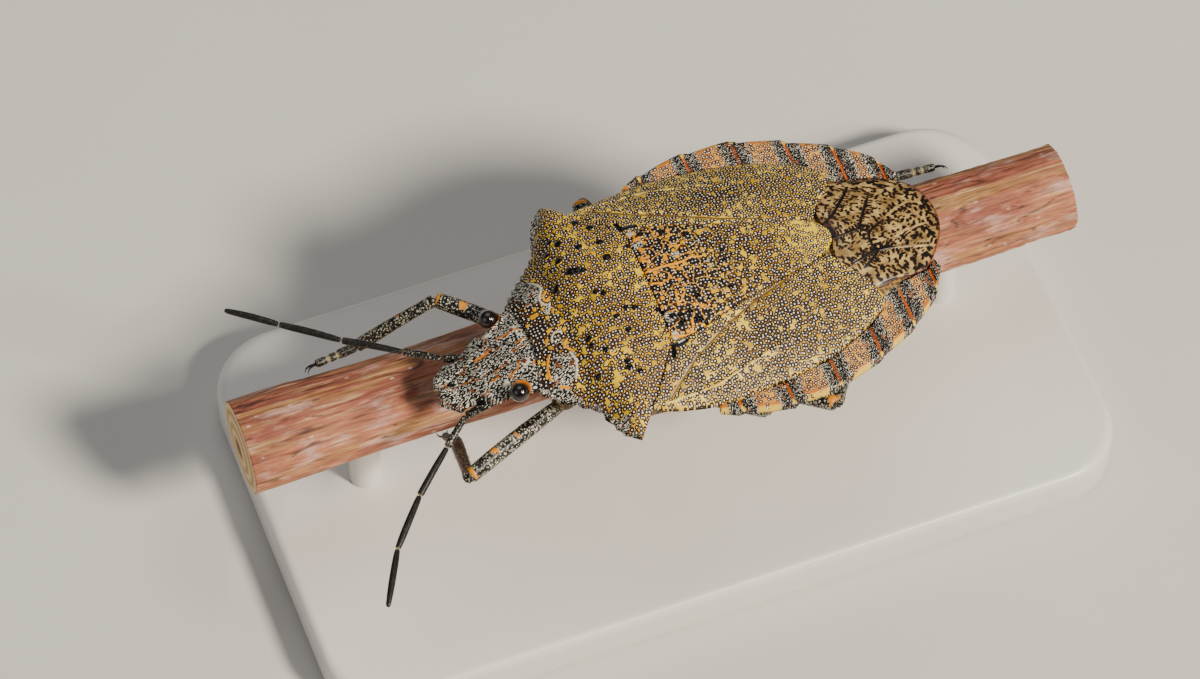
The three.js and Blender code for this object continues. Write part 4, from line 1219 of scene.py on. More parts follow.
def underside_material():
    material, tree, surface = new_material(
        "pale finely pitted cuticle", IOR=CHITIN_IOR, Roughness=0.5, Specular_IOR_Level=0.32
    )
    place = add(tree, "ShaderNodeTexCoord").outputs["Object"]
    broad = add(tree, "ShaderNodeTexNoise", {"Vector": place, "Scale": 1200.0, "Detail": 3.0})
    pits = pit_pattern(tree, place)
    ground = blend(tree, broad, "#86642c", "#b8985a")
    pitted = blend(tree, maths(tree, "MULTIPLY", pits.ring, 0.75), ground, "#2a150c")
    tree.links.new(blend(tree, painted(tree, "dark"), pitted, "#120c08"), surface.inputs["Base Color"])
    bump = add(tree, "ShaderNodeBump", {"Height": broad, "Strength": 0.3, "Distance": 0.00004})
    tree.links.new(bump.outputs[0], surface.inputs["Normal"])
    return material


underside_cuticle = underside_material()

# %% Build thorax and abdomen
thorax_side = [(-5.5, -1.35), (-4.9, -1.8), (-4.2, -2.4), (-3.4, -3.2), (-2.2, -3.3), (-0.45, -3.5)]
abdomen_side = [
    (-0.45, -3.5), (0.4, -4.1), (1.8, -4.5), (3, -4.45), (4.4, -3.95), (5.6, -3.32), (6.5, -2.7), (7.0, -2.2),
]
waist = [(-0.45, -3.5), (-0.45, 0), (-0.45, 3.5)]
trunk = {
    "thorax": {
        "front": across_body([(-5.5, -1.42), *NECK[1:]]), "rear": waist, "left": thorax_side,
        "right": mirror(thorax_side),
    },
    "abdomen": {
        "front": waist, "rear": across_body([(7.0, -2.2), (7.25, -1.2), (7.4, 0)]), "left": abdomen_side,
        "right": mirror(abdomen_side),
    },
}


def trunk_under(grid):
    off = np.min([np.abs(grid.x - s) for s in SUTURES], axis=0)
    plates = np.where(grid.x > WAIST[0], 0.05 * np.exp(-((off / 0.07) ** 2)), 0)
    keel = 0.08 * near_line(grid, [(-5.2, 0), (-0.6, 0)], 0.25)
    return belly(grid) + plates + keel


def trunk_cover(grid):
    vault = back(grid.x, grid.y) - SHELL - 0.12
    return np.minimum(vault, np.where(grid.x > WAIST[0], -0.3 + (vault + 0.3) * (grid.side > 0.9), vault))


for name, edges in trunk.items():
    # The fine side of a plate is its upper one, so the trunk is built upside down.
    piece, grid = plate(f"bug_{name}", edges, 0.06, trunk_under, trunk_cover, bulge=0.03, rings=3)
    off = np.min([np.abs(grid.x - s) for s in SUTURES], axis=0)
    crease = np.exp(-((off / 0.05) ** 2)) * (name == "abdomen") * 0.5
    pores = sum(near(grid, s - 0.5, float(body_half_width(s - 0.5)) * 0.82, 0.09) for s in SUTURES[1:])
    rim = 0.5 * np.exp(-((grid.side / 0.2) ** 2))
    paint(piece, grid, dark=np.clip(crease + pores * (name == "abdomen") + rim, 0, 1))
    finish(piece, underside_cuticle, "underside_cuticle", name)
    print(piece.name, "faces:", len(piece.data.polygons))

# %% [markdown]
# ## Limbs as tubes
#
# Legs and feelers are tubes of changing radius. A curve object with a bevel would do, but a
# tube made ring by ring can be flattened, swollen at the knee and painted along its length in
# one go. The ring directions are carried along the path, so that the tube never twists.


# %% Build one tube
# A tube that stands upright has no sideways of its own, so its rings are turned from x instead.
UPRIGHT = 0.99


def tube(name, path, radii, sides=28, flat=1.0, spacing=0.035):
    path = np.asarray(path, float)
    steps = max(12, round(curve_length(path) / spacing))
    u = np.linspace(0, 1, steps + 1)
    centre = spline(path, u)
    ahead = np.gradient(centre, axis=0)
    ahead /= np.linalg.norm(ahead, axis=1, keepdims=True)
    upright = abs(ahead[0][2]) > UPRIGHT
    up = np.cross(ahead[0], [1.0, 0, 0] if upright else [0, 0, 1.0])
    ups = []
    for way in ahead:
        up = up - way * (up @ way)
        up /= np.linalg.norm(up)
        ups.append(up)
    ups = np.array(ups)
    sideways = np.cross(ahead, ups)
    radius = radii(u)
    turn = np.linspace(0, 2 * math.pi, sides, endpoint=False)
    ring = centre[:, None] + radius[:, None, None] * (
        ups[:, None] * np.cos(turn)[None, :, None] * flat + sideways[:, None] * np.sin(turn)[None, :, None]
    )
    points = np.concatenate([ring.reshape(-1, 3), centre[:1], centre[-1:]])
    number = np.arange((steps + 1) * sides).reshape(steps + 1, sides)
    after = np.roll(number, -1, 1)
    faces = np.stack([number[:-1], number[1:], after[1:], after[:-1]], -1).reshape(-1, 4).tolist()
    first, last = len(points) - 2, len(points) - 1
    faces += [[first, a, b] for a, b in zip(number[0].tolist(), after[0].tolist())]
    faces += [[last, b, a] for a, b in zip(number[-1].tolist(), after[-1].tolist())]
    piece = make_piece(name, points, faces)
    grid = SimpleNamespace(x=np.repeat(u[:, None], sides, 1), source=None, y=np.tile(turn, (steps + 1, 1)))
    grid.source = np.concatenate([number.ravel(), [number[0, 0], number[-1, 0]]])
    grid.normal = (ring - centre[:, None]).reshape(-1, 3) / np.maximum(radius.repeat(sides), 1e-6)[:, None]
    grid.skin = ring.reshape(-1, 3)
    grid.ahead = ahead.repeat(sides, 0)
    return piece, grid


def domed(u, length, radius_at, start, end):
    """Radii that follow a profile and close in a dome at each end."""
    first = np.clip(u * length / start, 0, 1)
    last = np.clip((1 - u) * length / end, 0, 1)
    return radius_at(u) * np.sqrt(1 - (1 - first) ** 2 * 0.999) * np.sqrt(1 - (1 - last) ** 2 * 0.999)


# %% [markdown]
# ## Materials of the limbs
#
# The legs are black with raised white flecks. Two orange patches lie on top of the thigh, one
# beside the knee and one halfway down the shin. The feelers are plain black with a narrow pale
# ring at each joint, and only their first two segments are flecked.


# %% Limb cuticle
def limb_cuticle(name, fleck_size, brown):
    material, tree, surface = new_material(name, IOR=CHITIN_IOR, Roughness=0.42, Specular_IOR_Level=0.32)
    place = add(tree, "ShaderNodeTexCoord").outputs["Object"]
    worms = worm_pattern(tree, place, EVEN, "3D")
    blotch = add(tree, "ShaderNodeTexNoise", {"Vector": place, "Scale": 3500.0, "Detail": 2.0})
    ground = blend(tree, step(tree, blotch, 0.45, 0.7), "#040303", brown)
    raised = step(tree, worms, fleck_size + 0.06, fleck_size - 0.06)
    fleck = maths(tree, "MULTIPLY", raised, painted(tree, "flecked"))
    spotted = blend(tree, fleck, ground, "#d2cdb9")
    edge = maths(tree, "MULTIPLY_ADD", blotch, 1.2, painted(tree, "orange"))
    warm = blend(tree, step(tree, edge, 0.95, 1.25), spotted, "#dc8c00")
    tree.links.new(blend(tree, painted(tree, "pale"), warm, "#cdbd8c"), surface.inputs["Base Color"])
    fine = add(tree, "ShaderNodeTexNoise", {"Vector": place, "Scale": 20000.0, "Detail": 2.0})
    bump = add(tree, "ShaderNodeBump", {"Height": fine, "Strength": 0.3, "Distance": 0.00001})
    tree.links.new(bump.outputs[0], surface.inputs["Normal"])
    return material


leg_cuticle = limb_cuticle("flecked black leg cuticle", 0.42, "#1c130e")
feeler_cuticle = limb_cuticle("black feeler cuticle", 0.34, "#080706")

# %% [markdown]
# ## Legs
#
# Each leg has a thigh, a shin and a foot of three short joints with two curved claws. The hips,
# knees, ankles and toes are where the solids have them. Fine pale bristles stand along the
# lower side of every leg. Each is a thin three-sided spike, all of them in one mesh per limb
# piece.

# %% Joints of the legs
LEGS = {
    "front_left": [(-4.6, -1.2, -1.92), (-8.21, -2.65, -2.0), (-7.65, 0.2, -4.66), (-7.7, 1.11, -5.74)],
    "front_right": [(-4.6, 1.2, -1.92), (-7.07, 3.46, -1.7), (-9.73, 3.31, -2.7), (-11.1, 3.16, -2.72)],
    "mid_left": [(-2.4, -1.25, -2.0), (1.07, -3.64, -2.0), (0.5, -0.05, -3.9), (0.3, 0.45, -5.08)],
    "mid_right": [(-2.4, 1.25, -2.0), (-1.85, 4.95, -1.2), (0.4, 3.73, -4.14), (0.8, 3.04, -5.36)],
    "hind_left": [(-0.95, -1.3, -2.05), (2.93, -4.47, -1.4), (5.6, -0.33, -3.28), (6.36, 0.3, -4.62)],
    "hind_right": [(-0.95, 1.3, -2.0), (3.2, 3.6, -2.0), (7.96, 3.35, -2.8), (9.32, 3.28, -2.85)],
}
thigh = profile([(0, 0.21), (0.15, 0.25), (0.45, 0.285), (0.75, 0.29), (0.92, 0.275), (1, 0.26)])
shin = profile([(0, 0.18), (0.06, 0.23), (0.14, 0.21), (0.5, 0.225), (0.85, 0.24), (1, 0.21)])
foot = profile([
    (0, 0.14), (0.1, 0.155), (0.42, 0.16), (0.47, 0.11), (0.52, 0.135), (0.62, 0.135), (0.66, 0.1),
    (0.72, 0.13), (0.9, 0.135), (1, 0.1),
])
TWIG_AXIS = np.array([0, 1.85, -3.9])
twig_radius = float(middle("perch_twig")[2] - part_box("perch_twig")[0][2] / MM)
print("twig radius", round(twig_radius, 2), "mm")


# %% Bristles
def bristles(name, grid, count, length, radius, seed, keep=None):
    pick = random.Random(seed)
    points, faces = [], []
    total = len(grid.skin)
    while len(points) < count * 4:
        i = pick.randrange(total)
        normal = grid.normal[i]
        if keep is not None and not keep(normal):
            continue
        lean = normal + grid.ahead[i] * pick.uniform(0.5, 1.1)
        lean = lean + np.array([pick.uniform(-0.2, 0.2) for _ in range(3)])
        lean /= np.linalg.norm(lean)
        side = np.cross(lean, [0.3, 0.5, 0.8])
        side /= np.linalg.norm(side)
        other = np.cross(lean, side)
        root = grid.skin[i] - normal * 0.01
        base = len(points)
        for turn in (0, 2.094, 4.189):
            points.append(root + radius * (side * math.cos(turn) + other * math.sin(turn)))
        points.append(root + lean * pick.uniform(0.6, 1.2) * length)
        faces += [[base, base + 1, base + 3], [base + 1, base + 2, base + 3], [base + 2, base, base + 3]]
        faces.append([base + 2, base + 1, base])
    return make_piece(name, np.array(points), faces)


def bristle_material():
    material, tree, surface = new_material("pale horn bristle", IOR=1.55, Roughness=0.35)
    surface.inputs["Base Color"].default_value = linear("#cdbb8e")
    return material


bristle_horn = bristle_material()


# %% Claws and whole legs
CLAW_RADIUS = 0.045


def claw_path(ankle, toe, sign):
    toe, ankle = np.array(toe), np.array(ankle)
    ahead = (toe - ankle) / np.linalg.norm(toe - ankle)
    inward = (TWIG_AXIS - toe) * [0, 1, 1]
    inward /= np.linalg.norm(inward)
    side = np.cross(inward, ahead) * sign
    return [
        toe - ahead * 0.05,
        toe + ahead * 0.14 + side * 0.1,
        toe + ahead * 0.27 + side * 0.17 + inward * 0.05,
        toe + ahead * 0.33 + side * 0.2 + inward * 0.16,
    ]


def bowed(a, b, lift):
    a, b = np.array(a), np.array(b)
    return [a, a * 0.66 + b * 0.34 + [0, 0, lift], a * 0.33 + b * 0.67 + [0, 0, lift], b]


def band(u, at, width):
    return np.exp(-(((u - at) / width) ** 2))


def on_top(grid, width=0.9):
    """1 along the upper side of a limb, 0 below it."""
    return np.exp(-(((grid.y - 1.5 * math.pi) / width) ** 2))


def leg_piece(leg, part, path, radii, dome, flat, **fields):
    length = curve_length(path)
    piece, grid = tube(f"bug_{leg}_{part}", path, lambda u: domed(u, length, radii, dome, dome), flat=flat)
    paint(piece, grid, **{k: v(grid) for k, v in fields.items()})
    press(piece, "limb")
    finish(piece, leg_cuticle, "leg_cuticle", f"leg_{leg}_{part}")
    return grid


for number, (leg, (hip, knee, ankle, toe)) in enumerate(LEGS.items()):
    grid = leg_piece(
        leg, "femur", bowed(hip, knee, 0.05), thigh, 0.2, 0.85,
        orange=lambda g: (0.7 * band(g.x, 0.72, 0.04) + 0.4 * band(g.x, 0.5, 0.03)) * on_top(g)
        + 0.9 * band(g.x, 0.955, 0.03) * on_top(g, 1.5),
        pale=lambda g: 0.6 * band(g.x, 0.0, 0.1), flecked=lambda g: 1.0 - 0.2 * g.x,
        warty=lambda g: 1 + 0 * g.x,
    )
    hair = bristles(f"bug_{leg}_femur_bristles", grid, 130, 0.13, 0.005, number, lambda n: n[2] < 0.3)
    finish(hair, bristle_horn, "leg_cuticle")
    grid = leg_piece(
        leg, "tibia", bowed(knee, ankle, 0.04), shin, 0.12, 0.82,
        orange=lambda g: (0.5 * band(g.x, 0.42, 0.03) + 0.6 * band(g.x, 0.02, 0.03)) * on_top(g),
        flecked=lambda g: 0.65 - 0.25 * g.x, warty=lambda g: 0.9 + 0 * g.x,
    )
    hair = bristles(f"bug_{leg}_tibia_bristles", grid, 170, 0.14, 0.005, number + 10)
    finish(hair, bristle_horn, "leg_cuticle")
    grid = leg_piece(
        leg, "tarsus", [ankle, (np.array(ankle) + toe) / 2, toe], foot, 0.08, 0.9,
        pale=lambda g: 0.5 * band(g.x, 0.47, 0.03) + 0.5 * band(g.x, 0.66, 0.03),
        orange=lambda g: 0.25 * on_top(g), flecked=lambda g: 0.25 + 0 * g.x, warty=lambda g: 0.3 + 0 * g.x,
    )
    hair = bristles(f"bug_{leg}_tarsus_bristles", grid, 110, 0.09, 0.004, number + 20)
    finish(hair, bristle_horn, "leg_cuticle")
    for claw_number, sign in enumerate((-1, 1)):
        path = claw_path(ankle, toe, sign)
        claw, grid = tube(
            f"bug_{leg}_claw_{claw_number}", path, lambda u: CLAW_RADIUS * (1.02 - u) ** 0.7, sides=10
        )
        finish(claw, feeler_cuticle, "leg_cuticle")
print("legs built:", len(LEGS))

# %% [markdown]
# ## Hips
#
# A hip (coxa) is a short swollen stub set in the underside, with a smaller ring, the
# trochanter, between it and the thigh.

# %% Build the hips
for leg, (hip, knee, _, _) in LEGS.items():
    hip = np.array(hip)
    root = hip * [1, 0.85, 1] + [0, 0, 0.55]
    swell = profile([(0, 0.4), (0.4, 0.42), (0.8, 0.36), (1, 0.26)])
    reach = hip - [0, 0, 0.22]
    length = float(np.linalg.norm(reach - root))
    coxa, grid = tube(
        f"bug_{leg}_coxa", [root, (root + reach) / 2, reach], lambda u: domed(u, length, swell, 0.1, 0.22),
        spacing=0.05,
    )
    paint(coxa, grid, dark=0.3)
    finish(coxa, underside_cuticle, "underside_cuticle")

# %% [markdown]
# ## Feelers
#
# Each feeler has five segments, held slightly apart by pale narrow joints. The first two are the
# shortest, and the last two are spindles. The real ones are only about 0.2 mm thick.

# %% Build the feelers
FEELERS = {
    "left": [(-6.7, -0.8, -1.32), (-7.65, -0.83, -1.6), (-8.51, -1.53, -1.85), (-9.8, -2.68, -2.1),
             (-11.0, -4.05, -2.35), (-11.9, -5.7, -2.6)],
    "right": [(-6.7, 0.8, -1.32), (-7.68, 1.15, -1.3), (-8.74, 1.75, -1.2), (-10.36, 2.7, -1.05),
              (-11.96, 3.84, -0.95), (-13.36, 4.84, -0.85)],
}
FEELER_RADII = [
    profile([(0, 0.12), (0.5, 0.135), (1, 0.12)]),
    profile([(0, 0.08), (0.3, 0.1), (0.9, 0.115), (1, 0.09)]),
    profile([(0, 0.08), (0.3, 0.1), (0.9, 0.11), (1, 0.09)]),
    profile([(0, 0.075), (0.2, 0.1), (0.7, 0.11), (1, 0.085)]),
    profile([(0, 0.075), (0.2, 0.1), (0.6, 0.105), (0.9, 0.08), (1, 0.05)]),
]
for side, joints in FEELERS.items():
    joints = np.array(joints)
    for i, radii in enumerate(FEELER_RADII):
        ahead = joints[i + 1] - joints[i]
        length = float(np.linalg.norm(ahead))
        start = joints[i] + ahead / length * 0.01
        end = joints[i + 1] - ahead / length * 0.01
        path = [start, (start + end) / 2 + [0, 0, 0.03], end]
        piece, grid = tube(
            f"bug_feeler_{side}_{i + 1}", path, lambda u: domed(u, length, radii, 0.05, 0.06), sides=20
        )
        ends = band(grid.x, 1.0, 0.035 / length) if i < 4 else 0
        paint(
            piece, grid, warty=0.25 if i < 2 else 0.0, flecked=0.6 if i < 2 else 0.05,
            pale=np.clip(ends, 0, 1) * (0.9 if i else 0.4),
        )
        press(piece, "limb")
        finish(piece, feeler_cuticle, "antenna_cuticle", f"antenna_{side}")
        hair = bristles(f"bug_feeler_{side}_{i + 1}_bristles", grid, 90, 0.05, 0.004, i * 7 + len(side))
        finish(hair, bristle_horn, "antenna_cuticle")
print("feeler length", round(float(np.linalg.norm(np.diff(FEELERS["right"], axis=0), axis=1).sum()), 1), "mm")

# %% [markdown]
# ## Beak
#
# The jointed beak lies folded back under the head and breast, in the groove between the hips.

# %% Build the beak
BEAK = [(-7.45, 0, -2.2), (-6.8, 0, -2.26), (-6.2, 0, -2.28), (-4.2, 0, -2.1), (-2.8, 0, -2.18)]
beak_radii = profile([
    (0, 0.18), (0.2, 0.2), (0.27, 0.15), (0.32, 0.18), (0.6, 0.17), (0.64, 0.13), (0.7, 0.15), (1, 0.07),
])
beak, grid = tube("bug_beak", BEAK, lambda u: domed(u, 4.7, beak_radii, 0.12, 0.1))
paint(beak, grid, orange=0.5)
finish(beak, feeler_cuticle, "antenna_cuticle", "rostrum")

# %% [markdown]
# ## Twig
#
# The perch is a young woody stem with thin reddish bark, drawn out in long pale streaks as the
# stem thickened. The bark's ridges and cracks are real relief, made from stretched noise. The
# two sawn ends show pale wood, with rings and a darker pith.

# %% Twig shape
TWIG_FROM, TWIG_TO = -14.0, 13.0
BARK_RADIUS = 1.41
CRACK_WIDTH = 0.16


def twig_point(x, turn):
    swell = 0.03 * math.sin(x * 0.9) + 0.06 * max(0.0, (-x - 11) / 3)
    cx, cy = math.cos(turn), math.sin(turn)
    ridge = noise.noise(Vector((x * 0.22, cx * 3.2, cy * 3.2)))
    crack = abs(noise.noise(Vector((x * 0.35 + 30, cx * 6.0, cy * 6.0))))
    grain = noise.noise(Vector((x * 1.1, cx * 12.0, cy * 12.0 + 9)))
    knobbly = min(1.0, max(0.0, (x - 5.0) / 2.0)) * noise.noise(Vector((x * 2.6, cx * 4.2, cy * 4.2)))
    radius = BARK_RADIUS + swell + 0.05 * ridge - 0.05 * max(0.0, CRACK_WIDTH - crack) / CRACK_WIDTH
    radius = radius + 0.025 * grain + 0.03 * knobbly
    return (x, TWIG_AXIS[1] + radius * cx, TWIG_AXIS[2] + radius * cy), crack


def build_twig():
    steps, sides = 520, 170
    points, bark = [], []
    for i in range(steps + 1):
        x = TWIG_FROM + (TWIG_TO - TWIG_FROM) * i / steps
        for k in range(sides):
            place, crack = twig_point(x, 2 * math.pi * k / sides)
            points.append(place)
            bark.append(crack)
    number = np.arange((steps + 1) * sides).reshape(steps + 1, sides)
    after = np.roll(number, -1, 1)
    faces = np.stack([number[:-1], number[1:], after[1:], after[:-1]], -1).reshape(-1, 4).tolist()
    side_count = len(faces)
    for row, flip in ((0, False), (steps, True)):
        last = number[row]
        for shrink in (0.97, 0.7, 0.35):
            base = len(points)
            x = points[int(last[0])][0] + (0.03 if flip else -0.03) * (shrink < 0.9)
            for k in range(sides):
                _, py, pz = points[int(number[row][k])]
                inner_y = TWIG_AXIS[1] + (py - TWIG_AXIS[1]) * shrink
                inner_z = TWIG_AXIS[2] + (pz - TWIG_AXIS[2]) * shrink
                points.append((x, inner_y, inner_z))
                bark.append(0.0)
            ring = np.arange(base, base + sides)
            faces += np.stack([last, np.roll(last, -1), np.roll(ring, -1), ring], -1).tolist()
            last = ring
        faces.append(last.tolist())
    return points, faces, bark, side_count


points, faces, bark, side_count = build_twig()
twig = make_piece("twig", np.array(points), faces)
layer = twig.data.attributes.new("crack", "FLOAT", "POINT")
layer.data.foreach_set("value", np.array(bark, np.float32))
print("twig faces:", len(twig.data.polygons))


# %% Bark and cut wood
def stretched(tree, place, along, across, detail=3.0):
    """Noise drawn out along the twig; 'along' and 'across' are the sizes of a streak in millimetres."""
    scale = [1 / (along * MM), 1 / (across * MM), 1 / (across * MM)]
    drawn = add(tree, "ShaderNodeVectorMath", {0: place, 1: scale}, operation="MULTIPLY")
    return add(
        tree, "ShaderNodeTexNoise", {"Vector": drawn, "Scale": 1.0, "Detail": detail, "Roughness": 0.6}
    )


def bark_material():
    material, tree, surface = new_material("thin reddish bark", Roughness=0.72)
    place = add(tree, "ShaderNodeTexCoord").outputs["Object"]

    # Broad drifts of red-brown and ochre, with pink-grey patches where the outer skin has worn thin.
    cloud = stretched(tree, place, 6.0, 2.2)
    red = blend(tree, step(tree, cloud, 0.35, 0.62), "#8c4c3a", "#ae6e50")
    ochre = blend(tree, step(tree, stretched(tree, place, 5.5, 0.5), 0.48, 0.64, 0.7), red, "#b0864e")
    bloom = blend(tree, step(tree, stretched(tree, place, 1.6, 0.6, 5.0), 0.5, 0.7, 0.75), ochre, "#cfaaa0")

    # Narrow streaks, pale and dark, where the bark has split along the grain.
    pale = blend(tree, step(tree, stretched(tree, place, 3.0, 0.16), 0.55, 0.72, 0.55), bloom, "#d8ba8c")
    maroon = blend(tree, step(tree, stretched(tree, place, 3.6, 0.24), 0.46, 0.3, 0.6), pale, "#5c3026")
    crack = painted(tree, "crack")
    split = blend(tree, step(tree, crack, 0.06, 0.0, 0.75), maroon, "#38201a")

    # Lenticels: small corky dots.
    dots = add(tree, "ShaderNodeVectorMath", {0: place, 1: (1300.0, 2200.0, 2200.0)}, operation="MULTIPLY")
    cells = add(tree, "ShaderNodeTexVoronoi", {"Vector": dots, "Scale": 1.0})
    dotted = blend(tree, step(tree, cells.outputs["Distance"], 0.14, 0.04, 0.5), split, "#d8c2b0")
    fibre = stretched(tree, place, 0.9, 0.07)
    lines = add(
        tree, "ShaderNodeMapRange",
        {"Value": fibre, "From Min": 0.3, "From Max": 0.7, "To Min": 0.6, "To Max": 1.3},
    )
    colour = blend(tree, 1.0, dotted, lines, blend_type="MULTIPLY")
    tree.links.new(colour, surface.inputs["Base Color"])
    bump = add(tree, "ShaderNodeBump", {"Height": fibre, "Strength": 0.8, "Distance": 0.00004})
    tree.links.new(bump.outputs[0], surface.inputs["Normal"])
    return material


RING_WIDTH = 0.42


def cut_wood_material():
    material, tree, surface = new_material("sawn pale sapwood", Roughness=0.8)
    place = add(tree, "ShaderNodeTexCoord").outputs["Object"]
    centre = [0.0, *((INSECT_AT + TWIG_AXIS) * MM)[1:]]
    offset = add(tree, "ShaderNodeVectorMath", {0: place, 1: centre}, operation="SUBTRACT")
    flat = add(tree, "ShaderNodeVectorMath", {0: offset, 1: (0.0, 1.0, 1.0)}, operation="MULTIPLY")
    out = add(tree, "ShaderNodeVectorMath", {0: flat}, operation="LENGTH").outputs["Value"]
    waves = add(tree, "ShaderNodeMath", {0: out, 1: 2 * math.pi / (RING_WIDTH * MM)}, operation="MULTIPLY")
    rings = add(tree, "ShaderNodeMath", {0: waves}, operation="SINE")
    shade = add(tree, "ShaderNodeMapRange", {"Value": rings, "From Min": -1.0, "From Max": 1.0})
    wood = blend(tree, shade, "#b98f5c", "#e0c596")
    pith = add(tree, "ShaderNodeMapRange", {"Value": out, "From Min": 0.32 * MM, "From Max": 0.22 * MM})
    tree.links.new(blend(tree, pith, wood, "#7a5636"), surface.inputs["Base Color"])
    return material


finish(twig, bark_material(), "bark", "perch_twig")
twig.data.materials.append(cut_wood_material())
for face in twig.data.polygons:
    face.material_index = 1 if abs(face.normal.x) > 0.9 and face.index >= side_count else 0

# %% [markdown]
# ## Display stand
#
# The stand is cast acrylic, matt polished and pale, so that it doesn't compete with the
# animal. Its base is a rounded plate with a soft edge, and two short rods carry the twig.

# %% Build the stand
def acrylic_material():
    material, tree, surface = new_material("satin white acrylic", IOR=1.49, Roughness=0.35)
    place = add(tree, "ShaderNodeTexCoord").outputs["Object"]
    cloud = add(tree, "ShaderNodeTexNoise", {"Vector": place, "Scale": 300.0, "Detail": 2.0})
    tree.links.new(blend(tree, cloud, "#dad7d0", "#e4e1db"), surface.inputs["Base Color"])
    fine = add(tree, "ShaderNodeTexNoise", {"Vector": place, "Scale": 6000.0, "Detail": 2.0})
    bump = add(tree, "ShaderNodeBump", {"Height": fine, "Strength": 0.1, "Distance": 0.00001})
    tree.links.new(bump.outputs[0], surface.inputs["Normal"])
    return material


acrylic = acrylic_material()
BASE_CORNER = 2.2
BASE_EDGE = 0.3
CORNER_STEPS = 16
ROD_RADIUS = 0.5
ROD_LENGTH = 3.0
ROD_EDGE = 0.02


def rounded_base():
    low, high = (np.array(c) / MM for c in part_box("stand_base"))
    half = (high - low)[:2] / 2
    corners = [(1, -1), (1, 1), (-1, 1), (-1, -1)]
    outline = []
    for k, (sx, sy) in enumerate(corners):
        for i in range(CORNER_STEPS + 1):
            turn = -math.pi / 2 + k * math.pi / 2 + i * math.pi / (2 * CORNER_STEPS)
            x = sx * (half[0] - BASE_CORNER) + BASE_CORNER * math.cos(turn)
            y = sy * (half[1] - BASE_CORNER) + BASE_CORNER * math.sin(turn)
            outline.append([x, y])
    outline = np.array(outline)
    rings = []
    for z_low in (True, False):
        turns = np.linspace(0, math.pi / 2, 6)
        for a in turns if z_low else turns[::-1]:
            inset = BASE_EDGE * (1 - math.sin(a))
            z = BASE_EDGE * (1 - math.cos(a))
            scale = 1 - inset / half
            height = z if z_low else high[2] - z
            rings.append(np.column_stack([outline * scale, np.full(len(outline), height)]))
    points = np.concatenate(rings)
    size = len(outline)
    number = np.arange(len(points)).reshape(-1, size)
    after = np.roll(number, -1, 1)
    faces = np.stack([number[:-1], after[:-1], after[1:], number[1:]], -1).reshape(-1, 4).tolist()
    faces += [number[0][::-1].tolist(), number[-1].tolist()]
    return make_piece("stand_base_plate", points, faces, own_frame=False)


base = rounded_base()
finish(base, acrylic, "stand_acrylic", "stand_base")
for end in ("front", "rear"):
    low, high = (np.array(c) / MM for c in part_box(f"stand_rod_{end}"))
    x, y = ((low + high) / 2)[:2]
    foot_at = np.array([x, y, 1.5]) - INSECT_AT
    head_at = np.array([x, y, high[2] + 0.1]) - INSECT_AT
    path = [foot_at, (foot_at + head_at) / 2, head_at]
    rod, grid = tube(
        f"stand_rod_{end}_round", path,
        lambda u: domed(u, ROD_LENGTH, lambda v: v * 0 + ROD_RADIUS, ROD_EDGE, ROD_EDGE), sides=48,
    )
    finish(rod, acrylic, "stand_acrylic", f"stand_rod_{end}")
    print(rod.name, "is", [round(size / MM, 2) for size in rod.dimensions], "mm")

# %% [markdown]
# ## Floor, light and camera
#
# A plain pale floor and three soft lamps, as on a photographer's table. The key lamp stands low
# on the camera's right, so that every pit and knob throws a little shade. The camera looks down
# at 58 degrees from the insect's left front, from 0.2 m, and frames 36 mm of the scene.

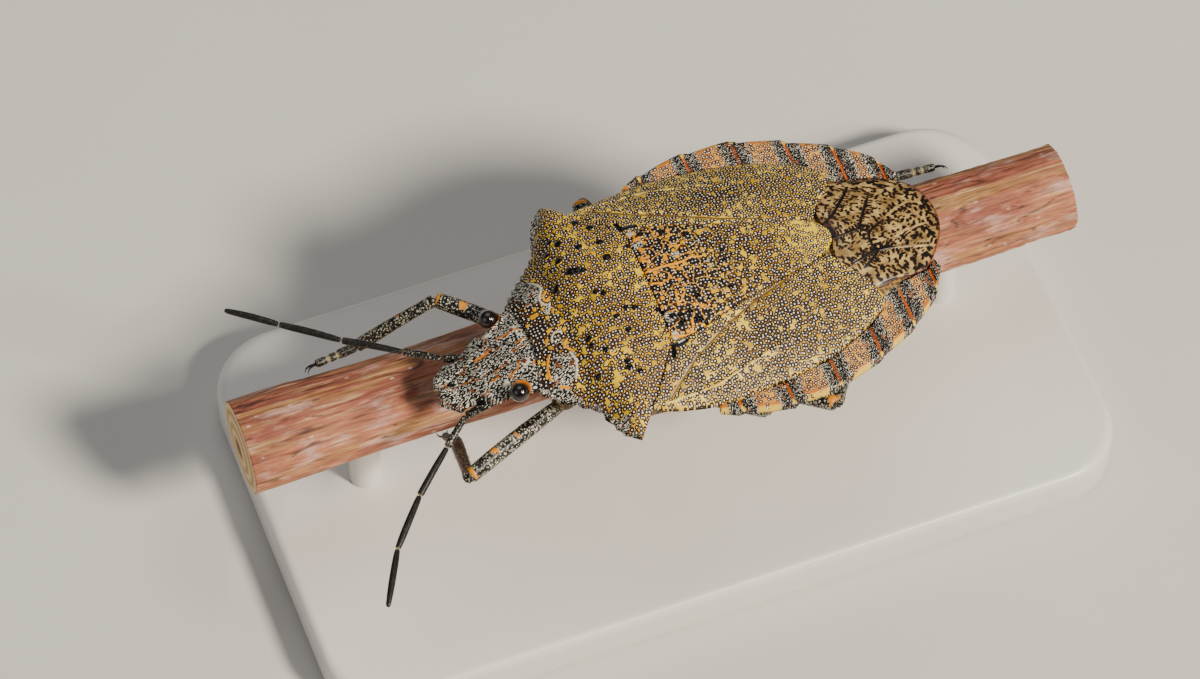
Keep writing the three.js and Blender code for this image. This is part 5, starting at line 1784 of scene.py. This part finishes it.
# %% Floor
def floor_material():
    material, tree, surface = new_material("pale matt board", Roughness=0.8)
    place = add(tree, "ShaderNodeTexCoord").outputs["Object"]
    cloud = add(tree, "ShaderNodeTexNoise", {"Vector": place, "Scale": 60.0, "Detail": 2.0})
    tree.links.new(blend(tree, cloud, "#cfccc6", "#d6d3cd"), surface.inputs["Base Color"])
    return material


bpy.ops.mesh.primitive_plane_add(size=1.6, location=(0, 0, 0))
floor = bpy.context.object
floor.name = "floor"
floor.data.materials.append(floor_material())

# %% Lamps
TARGET = Vector(((INSECT_AT + [-3.26, -0.64, 0]) * MM).tolist())


def lamp(name, azimuth, elevation, distance, size, power, colour):
    data = bpy.data.lights.new(name, "AREA")
    data.shape = "DISK"
    data.size = size
    data.energy = power
    data.color = linear(colour)[:3]
    light = bpy.data.objects.new(name, data)
    bpy.context.collection.objects.link(light)
    a, e = math.radians(azimuth), math.radians(elevation)
    way = Vector((math.sin(a) * math.cos(e), -math.cos(a) * math.cos(e), math.sin(e)))
    light.location = TARGET + way * distance
    light.rotation_euler = way.to_track_quat("Z", "Y").to_euler()
    return light


lamp("key", 35, 42, 0.35, 0.07, 2.1, "#fff4e2")
lamp("fill", -75, 35, 0.4, 0.25, 0.22, "#eef3ff")
lamp("top", 170, 65, 0.4, 0.3, 0.32, "#ffffff")
world = bpy.data.worlds.new("studio")
bpy.context.scene.world = world
world.use_nodes = True
world.node_tree.nodes["Background"].inputs["Color"].default_value = linear("#e8e8e8")
world.node_tree.nodes["Background"].inputs["Strength"].default_value = 0.15

# %% Camera
AZIMUTH, ELEVATION = math.radians(-20.6), math.radians(58)
DISTANCE, FRAME_WIDTH = 0.2, 0.03604
away = Vector((
    math.sin(AZIMUTH) * math.cos(ELEVATION), -math.cos(AZIMUTH) * math.cos(ELEVATION), math.sin(ELEVATION),
))
camera = bpy.data.objects.new("camera", bpy.data.cameras.new("camera"))
bpy.context.collection.objects.link(camera)
camera.location = TARGET + away * DISTANCE
camera.rotation_euler = away.to_track_quat("Z", "Y").to_euler()
camera.data.sensor_width = 36
camera.data.lens = 36 * DISTANCE / FRAME_WIDTH
camera.data.clip_start = 0.01
bpy.context.scene.camera = camera
print("camera at", [round(c * 1000, 1) for c in camera.location], "mm")
